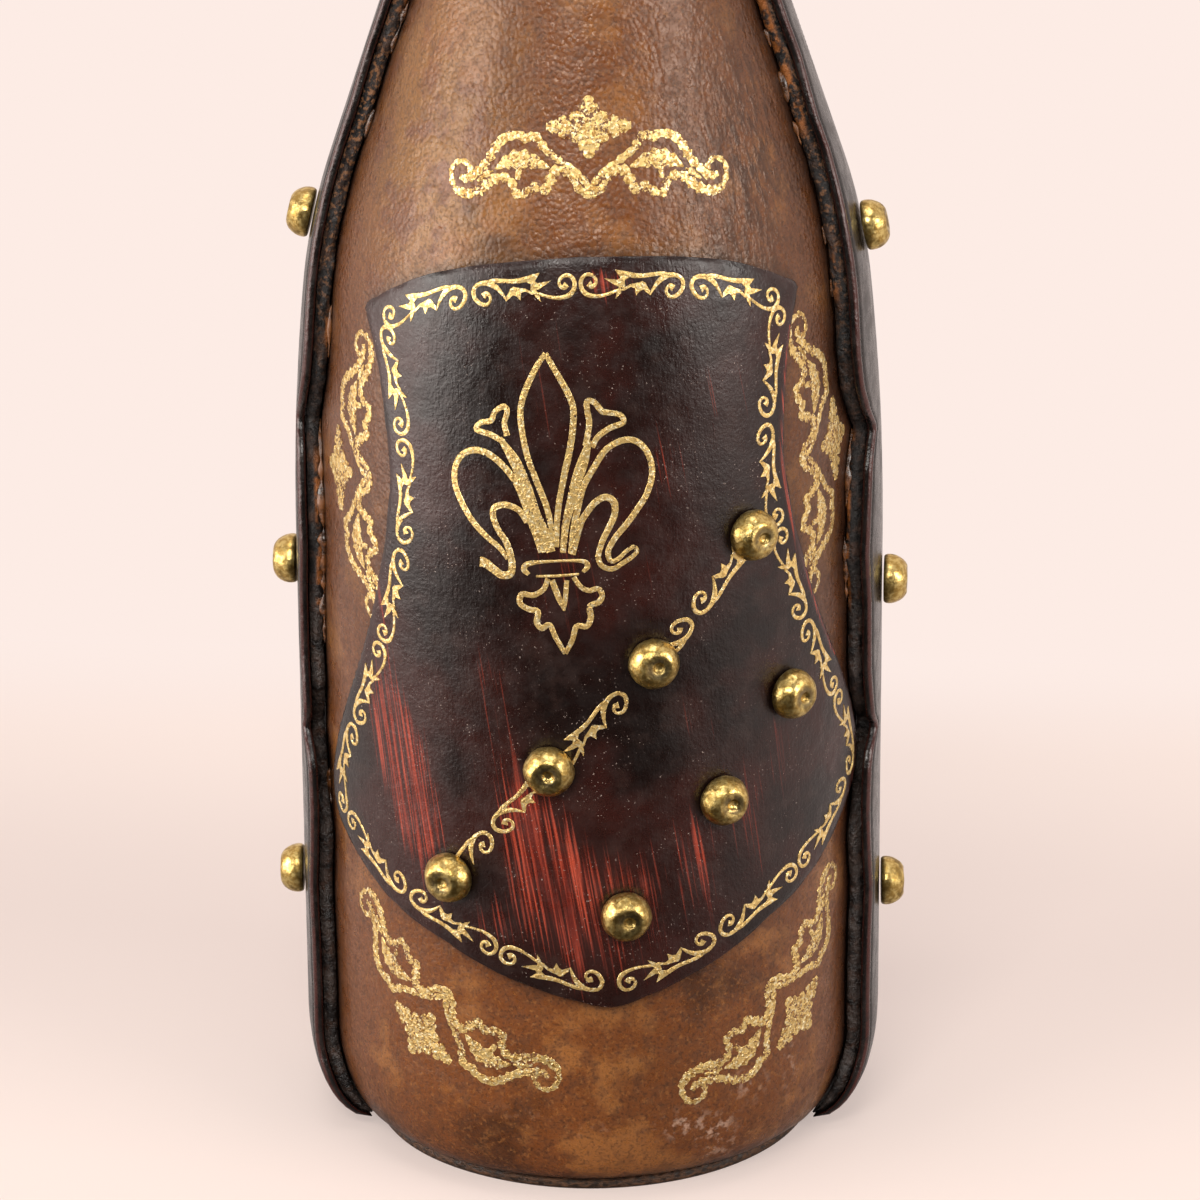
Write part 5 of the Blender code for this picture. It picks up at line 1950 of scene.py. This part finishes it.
            # Round the middle of the stamp the cone's own narrowing is left out, so the stamp stays true
            middle = (LINE.lifted(z, LAYERS.casing_top)[0] + radius + LAYERS.casing_top) / 2
            at = math.radians(turn) + across / middle
            relief.add(LINE.skin(at, z, casing.face(at, z) + self.lift + height), motif.faces, motif.hearts)
        item = relief.piece("gilt_cartouches", np.array(relief.points), Finish.CALF_GILT)
        dressed(item, Body.CARAFE, "brown_leather")


# Sole, collar, glass and stopper


@dataclass
class Foot:
    """The sole, a disc of thick leather with a waxed edge."""

    radius: float = 38.3
    thick: float = 2.0
    segments: int = 144
    rough: float = 0.11
    profile: Points = ((6, 2), (0.9, 2), (0.35, 1.88), (0.05, 1.5), (0, 1), (0.08, 0.5), (0.4, 0.1), (0.9, 0),
                       (6, 0))

    def uneven(self, turn: Grid, z: Grid, r: Grid) -> Grid:
        """Makes the cut edge wander by a few tenths of a millimetre."""
        wander = wavy(31, np.cos(turn) * 2.2, np.sin(turn) * 2.2) - 1.6
        return self.rough * wander * (r > self.radius - self.thick)

    def build(self) -> None:
        """Builds the sole with its edge rounded and a little uneven."""
        edge = [(self.radius - inset, z) for inset, z in self.profile]
        item = turned_body("sole_disc", [(0, self.thick), *edge, (0, 0)], self.segments, Finish.SOLE.material,
                           self.uneven)
        dressed(item, Body.CARAFE, "sole_leather", "sole")


def without_line(item: Object) -> Object:
    """Marks a piece of black leather as lying far from any tooled edge line, and gives it back."""
    keep_marks(item.data, {"rim": np.full(len(item.data.vertices), Strap.far)})
    return item


@dataclass
class Collar:
    """The black leather band round the neck, with rolled edges and a tooled line."""

    foot_z: float = 269.56
    top_z: float = 285.56
    thick: float = 1.7
    roll: float = 0.7
    segments: int = 96
    bead_in: float = 2.7
    bead_pitch: float = 0.9
    bead_r: float = 0.24
    bulge: Points = ((0, 0), (0.1, 0.55), (0.5, 0.95), (1, 1), (1.5, 0.85), (2, 0.35), (2.4, 0))

    def build(self) -> None:
        """Builds the band and its two rows of beads."""
        inner, outer = LAYERS.foot, LAYERS.foot + self.thick
        low = [(self.foot_z + self.roll * up, outer + self.roll * out) for up, out in self.bulge]
        high = [(self.foot_z + self.top_z - z, lift) for z, lift in reversed(low)]
        middle = ((self.foot_z + self.top_z) / 2, outer)
        corners = [(self.foot_z, inner), *low, middle, *high, (self.top_z, inner)]
        profile = [(LINE.lifted(z, lift)[0], z) for z, lift in corners]
        band = without_line(turned_ring("collar_band", profile, self.segments, Finish.BRIDLE.material))
        dressed(band, Body.CARAFE, "strap_leather", "neck_collar")
        rings = [LINE.skin(np.linspace(0, math.tau, 121), z, outer - 0.05)
                 for z in (self.foot_z + self.bead_in, self.top_z - self.bead_in)]
        beads_along("collar_beading", rings, self.bead_pitch, self.bead_r)


@dataclass
class Bottle:
    """The glass bottle inside the covering, of which only the mouth shows."""

    wall: float = 3.0
    bearing_w: float = 3.5
    punt_h: float = 28.0
    ring_w: float = 2.3
    ring_h: float = 5.5
    mouth_h: float = 11.8
    bore_r: float = 9.2
    bore_h: float = 34.0
    flare_h: float = 22.0
    segments: int = 96

    def build(self) -> None:
        """Builds the whole wall, outside and inside, as one turned body."""
        heel, neck_top = LINE.runs[0][0], LINE.neck_top
        ring_z = neck_top + self.ring_h
        mouth_z = ring_z + self.mouth_h
        mouth_r = LINE.radius(neck_top)
        ring_r = mouth_r + self.ring_w
        foot_r = LINE.body_r - LINE.heel_w - self.bearing_w
        under = [(foot_r * s, LINE.base_z + self.punt_h * (1 - s * s)) for s in np.linspace(1, 0, 14)]
        floor = [(r, z + self.wall) for r, z in reversed(under) if r < 0.86 * foot_r]
        outside = [(LINE.radius(z), z) for z in LINE.heights(LINE.base_z, neck_top, 2.5)[::-1]]
        lip = [
            (self.bore_r + 0.6, mouth_z), (mouth_r - 0.9, mouth_z), (mouth_r - 0.3, mouth_z - 0.15),
            (mouth_r, mouth_z - 0.6), (mouth_r, ring_z + 0.6), (mouth_r + 0.5, ring_z),
            (ring_r - 0.5, neck_top + self.ring_h * 0.86), (ring_r, neck_top + self.ring_h * 0.6),
            (ring_r, neck_top + self.ring_h * 0.4), (ring_r - 0.5, neck_top + self.ring_h * 0.14),
            (mouth_r + 0.4, neck_top + 0.05),
        ]
        foot_z = mouth_z - self.bore_h
        inside = np.column_stack(LINE.lifted(LINE.heights(heel - 10, foot_z - self.flare_h, 3), -self.wall))
        bore = [(self.bore_r, foot_z), (self.bore_r, mouth_z - 0.6)]
        profile = [*floor, *inside, *bore, *lip, *outside, *under]
        item = turned_body("bottle_glass", profile, self.segments, Finish.GLASS.material)
        dressed(item, Body.CARAFE, "glass", "glass_bottle")


@dataclass
class Stopper:
    """The stopper: cork and dowel, a washer, and a wooden knob covered with gathered calf."""

    core_r: float = 14.5
    core_h: float = 24.0
    cover_t: float = 1.2
    cover_hole_r: float = 1.4
    stud_r: float = 2.6
    hole_r: float = 2.8
    dowel_end: float = 16.3
    shares: Points = ((0.34, 1), (0.72, 0.9), (0.94, 0.7), (1, 0.45), (0.94, 0.22), (0.82, 0.06))
    pleats: int = 26
    pleat_depth: float = 0.55
    segments: int = 156

    def build(self) -> None:
        """Builds the washer, the cork and the cover, and dresses the hidden core and dowel."""
        low, high = (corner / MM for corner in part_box("stopper_washer"))
        r, hole = high.x, self.hole_r
        washer = [(hole, high.z), (r - 0.6, high.z), (r - 0.15, high.z - 0.25), (r, high.z - 0.8),
                  (r - 0.15, low.z + 0.25), (r - 0.6, low.z), (hole, low.z)]
        item = without_line(turned_ring("washer_ring", washer, 96, Finish.BRIDLE.material))
        dressed(item, Body.STOPPER, "strap_leather", "stopper_washer")
        low, high = (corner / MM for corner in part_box("stopper_cork"))
        r, end = high.x - 0.02, high.z - self.dowel_end
        cork = [(hole, high.z), (r - 0.4, high.z), (r, high.z - 0.5), (r - 0.6, low.z + 1.3),
                (r - 1, low.z + 0.4), (r - 1.9, low.z), (0.6, low.z), (0.6, end), (hole, end)]
        item = turned_ring("cork_plug", cork, 72, Finish.CORK.material)
        dressed(item, Body.STOPPER, "cork", "stopper_cork")
        self.cover()
        for name in ("stopper_core", "stopper_dowel"):
            finishes = bpy.data.objects[name].data.materials
            finishes.clear()
            finishes.append(Finish.BEECH.material)
            log.info("%s keeps its CAD shape in %s", name, Finish.BEECH.value.name)

    def cover(self) -> None:
        """The calf cover, gathered into pleats under the knob."""
        low, high = (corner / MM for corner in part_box("stopper_core"))
        line = smooth_path(np.array(self.shares) * [self.core_r, self.core_h] + [0, low.z], 8)
        inner, skin = (line + beside(line) * lift for lift in (LAYERS.gap, LAYERS.gap + self.cover_t))
        top = high.z + LAYERS.gap
        hole, rim = self.cover_hole_r, self.stud_r
        outer = [(hole, top + self.cover_t), (rim, top + self.cover_t), *skin]
        r, z = np.array([*outer, *inner[::-1], (rim, top), (hole, top)]).T
        depth = self.pleat_depth * np.clip(1 - (z - low.z) / (self.core_h * 0.42), 0, 1)
        depth[len(outer):] = 0
        loops = []
        for t in full_turn(self.segments):
            folded = r - depth * (0.5 + 0.5 * math.cos(t * self.pleats)) ** 0.6
            loops.append(np.column_stack([folded * math.sin(t), -folded * math.cos(t), z]))
        up = np.tile(z, len(loops))
        marks = {"shade": np.clip(0.55 - (up - low.z) / 12, 0, 0.55),
                 "scuff": np.clip((up - top + 2) / 4, 0, 1) / 4}
        faces = swept_faces(len(loops), len(r), closed=True)
        item = make_mesh("knob_cover", np.vstack(loops), faces, Finish.CALF.material, marks)
        dressed(item, Body.STOPPER, "brown_leather", "stopper_cover")


# Studio


@dataclass
class Studio:
    """Pale floor, soft lamps and the camera at the photograph's angle."""

    lens: float = 183.93
    distance: float = 0.9745
    eye_h: float = 0.4684
    pitch: float = 21.08
    yaw: float = 4.4
    roll: float = -0.45
    aside: float = 0.0017
    aim: tuple[float, float, float] = (0.0, 0.0, 0.12)
    pale: str = "#fdece5"
    # Colour of the painted shadow band across the near floor
    near: str = "#ead9d4"
    floor: str = "#ebdad2"
    fill: str = "#fff4ee"
    floor_r: float = 2.4
    floor_rings: int = 24
    seam: tuple[float, float] = (0.15, 0.21)
    # Where the painted shadow band on the near floor fades in and out, in metres along Y
    dip_front: tuple[float, float] = (-0.03, 0.08)
    dip_back: tuple[float, float] = (0.17, 0.09)
    edge: tuple[float, float] = (0.2, 0.5)

    def camera(self) -> None:
        """Adds the camera."""
        data = bpy.data.cameras.new("camera")
        data.lens = self.lens
        data.sensor_width = 36.0
        yaw = math.radians(self.yaw)
        item = added("camera", data)
        item.location = (*spun(np.array([self.aside, -self.distance]), yaw), self.eye_h)
        turns = (("Z", yaw), ("X", QUARTER - math.radians(self.pitch)), ("Z", math.radians(self.roll)))
        whole = Matrix.Identity(3)
        for axis, angle in turns:
            whole = whole @ Matrix.Rotation(angle, 3, axis)
        item.rotation_euler = whole.to_euler("XYZ")
        bpy.context.scene.camera = item

    def lamp(self, name: str, place: tuple[float, float, float], size: tuple[float, float], power: float,
             colour: str, only_gloss: bool = False) -> None:
        """Adds one softbox that looks at the middle of the carafe.

        Args:
            name: The lamp's name.
            place: Its place in metres.
            size: Width and height in metres.
            power: Its power in watts.
            colour: Its colour.
            only_gloss: Whether it shows in reflections alone, as a card beside the carafe does.
        """
        data = bpy.data.lights.new(name, "AREA")
        data.shape = "RECTANGLE"
        data.size, data.size_y = size
        data.energy = power
        data.color = linear(colour)[:3]
        item = added(name, data)
        item.location = place
        item.rotation_euler = (Vector(self.aim) - Vector(place)).to_track_quat("-Z", "Y").to_euler()
        item.visible_diffuse = not only_gloss

    def ground(self) -> None:
        """Adds the floor, a wide disc whose far part fades into the background."""
        around = 96
        r = np.repeat(self.floor_r * np.linspace(0, 1, self.floor_rings)[1:] ** 1.6, around)
        t = np.tile(full_turn(around), self.floor_rings - 1)
        points = np.vstack([[0, 0, 0], np.column_stack([r * np.cos(t), r * np.sin(t), 0 * t])]) / MM
        mesh = bare_mesh("floor", points, faces=disc_faces(self.floor_rings - 1, around))
        card = Surface("matt_photo_card")
        card.plug(card.shader, {"Roughness": 0.9, "Specular IOR Level": 0.1, "Base Color": self.floor})
        rays = card.add("ShaderNodeLightPath")
        spot = card.add("ShaderNodeSeparateXYZ", {"Vector": card.where})
        away = card.add("ShaderNodeVectorMath", {0: card.where}, operation="LENGTH")["Value"]
        sideways = card.add("ShaderNodeMath", {0: spot["X"]}, operation="ABSOLUTE")[0]
        frontal = card.heaped((sideways, 1), (spot["Y"], 0.75))
        # The camera sees the floor brighten into the background behind a soft seam, past a painted shadow
        # band on the near floor; in reflections the floor glows, dim in front of the carafe and bright at its
        # sides
        far, outer, rise, fall, bright = (
            card.add("ShaderNodeMapRange", {"Value": value, "From Min": low, "From Max": high, "To Min": dim,
                                            "To Max": full}, interpolation_type="SMOOTHSTEP")[0]
            for value, (low, high), dim, full in (
                (spot["Y"], self.seam, 0.45, 1), (away, self.edge, 0, 1), (spot["Y"], self.dip_front, 0, 1),
                (spot["Y"], self.dip_back, 0, 1), (frontal, (-0.06, 0.17), 0.05, 0.82),
            )
        )
        faded = card.add("ShaderNodeMath", {0: far, 1: outer}, operation="MAXIMUM")[0]
        seen = card.add("ShaderNodeMath", {0: faded, 1: rays["Is Camera Ray"]}, operation="MULTIPLY")[0]
        distant = card.coats(self.pale, (self.near, rise, fall), (self.pale, outer))
        glow, mirrored = (card.add("ShaderNodeEmission", {"Color": colour, "Strength": strength})[0]
                          for colour, strength in ((distant, 1), (self.pale, bright)))
        matt = card.shader.outputs[0]
        lit = card.add("ShaderNodeMixShader", {0: rays["Is Glossy Ray"], 1: matt, 2: mirrored})[0]
        whole = card.add("ShaderNodeMixShader", {0: seen, 1: lit, 2: glow})[0]
        card.plug(card.tree.nodes["Material Output"], {"Surface": whole})
        mesh.materials.append(card.material)
        added("floor", mesh)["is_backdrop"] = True

    def sky(self) -> None:
        """Sets the world: a pale background, and a dimmer light round the object than it shows."""
        world = bpy.data.worlds.new("studio")
        bpy.context.scene.world = world
        world.use_nodes = True
        world.node_tree.nodes.clear()
        air = Graph(world.node_tree)
        rays = air.add("ShaderNodeLightPath")
        way = air.add("ShaderNodeSeparateXYZ", {"Vector": air.add("ShaderNodeTexCoord")["Generated"]})
        # Towards the front the studio is dark, as behind the photographer
        behind = air.add("ShaderNodeMapRange", {"Value": way["Y"], "From Min": -0.55, "From Max": 0.25,
                                                "To Min": 0.1, "To Max": 0.95})[0]
        seen, mirrored, fill = (
            air.add("ShaderNodeBackground", {"Color": colour, "Strength": strength})[0]
            for colour, strength in ((self.pale, 1), (self.pale, behind), (self.fill, 0.46))
        )
        shiny = air.add("ShaderNodeMath", {0: rays["Is Glossy Ray"], 1: rays["Is Transmission Ray"]},
                        operation="MAXIMUM")[0]
        soft = air.add("ShaderNodeMixShader", {0: shiny, 1: fill, 2: mirrored})[0]
        whole = air.add("ShaderNodeMixShader", {0: rays["Is Camera Ray"], 1: soft, 2: seen})[0]
        air.add("ShaderNodeOutputWorld", {"Surface": whole})

    def build(self) -> None:
        """Sets up the view, the floor, the world and the lamps."""
        bpy.context.scene.view_settings.view_transform = "Standard"
        self.camera()
        self.ground()
        self.sky()
        self.lamp("left_softbox", (-1.1, -0.6, 0.45), (0.9, 0.8), 10.0, "#fffaf4")
        self.lamp("right_softbox", (1.0, -0.55, 0.55), (0.7, 0.6), 7.5, "#fffaf4")
        self.lamp("front_softbox", (-0.1, -1.0, 0.88), (0.5, 0.3), 6.5, "#fffaf4")
        self.lamp("top_softbox", (-0.05, -0.1, 1.35), (0.8, 0.6), 5.2, "#ffffff")
        self.lamp("left_card", (-0.37, -0.1, 0.16), (0.28, 0.32), 0.85, self.fill, only_gloss=True)
        self.lamp("right_card", (0.34, -0.2, 0.2), (0.12, 0.26), 0.22, self.fill, only_gloss=True)


def main() -> tuple[Vector, Vector]:
    """Builds everything around the frame.

    Returns:
        The CAD model's box, as its lowest and highest corners.
    """
    logging.basicConfig(level=logging.INFO, format="%(message)s")
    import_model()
    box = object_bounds()
    Studio().build()
    casing = Casing()
    casing.build()
    for side in Side:
        Strap(side).build()
    ShieldPlate().build()
    tooling = Tooling()
    tooling.on_shield()
    tooling.on_casing(casing)
    for part in (Studs(), Foot(), Collar(), Bottle(), Stopper()):
        part.build()
    return box


if __name__ == "__main__":
    cad_box = main()
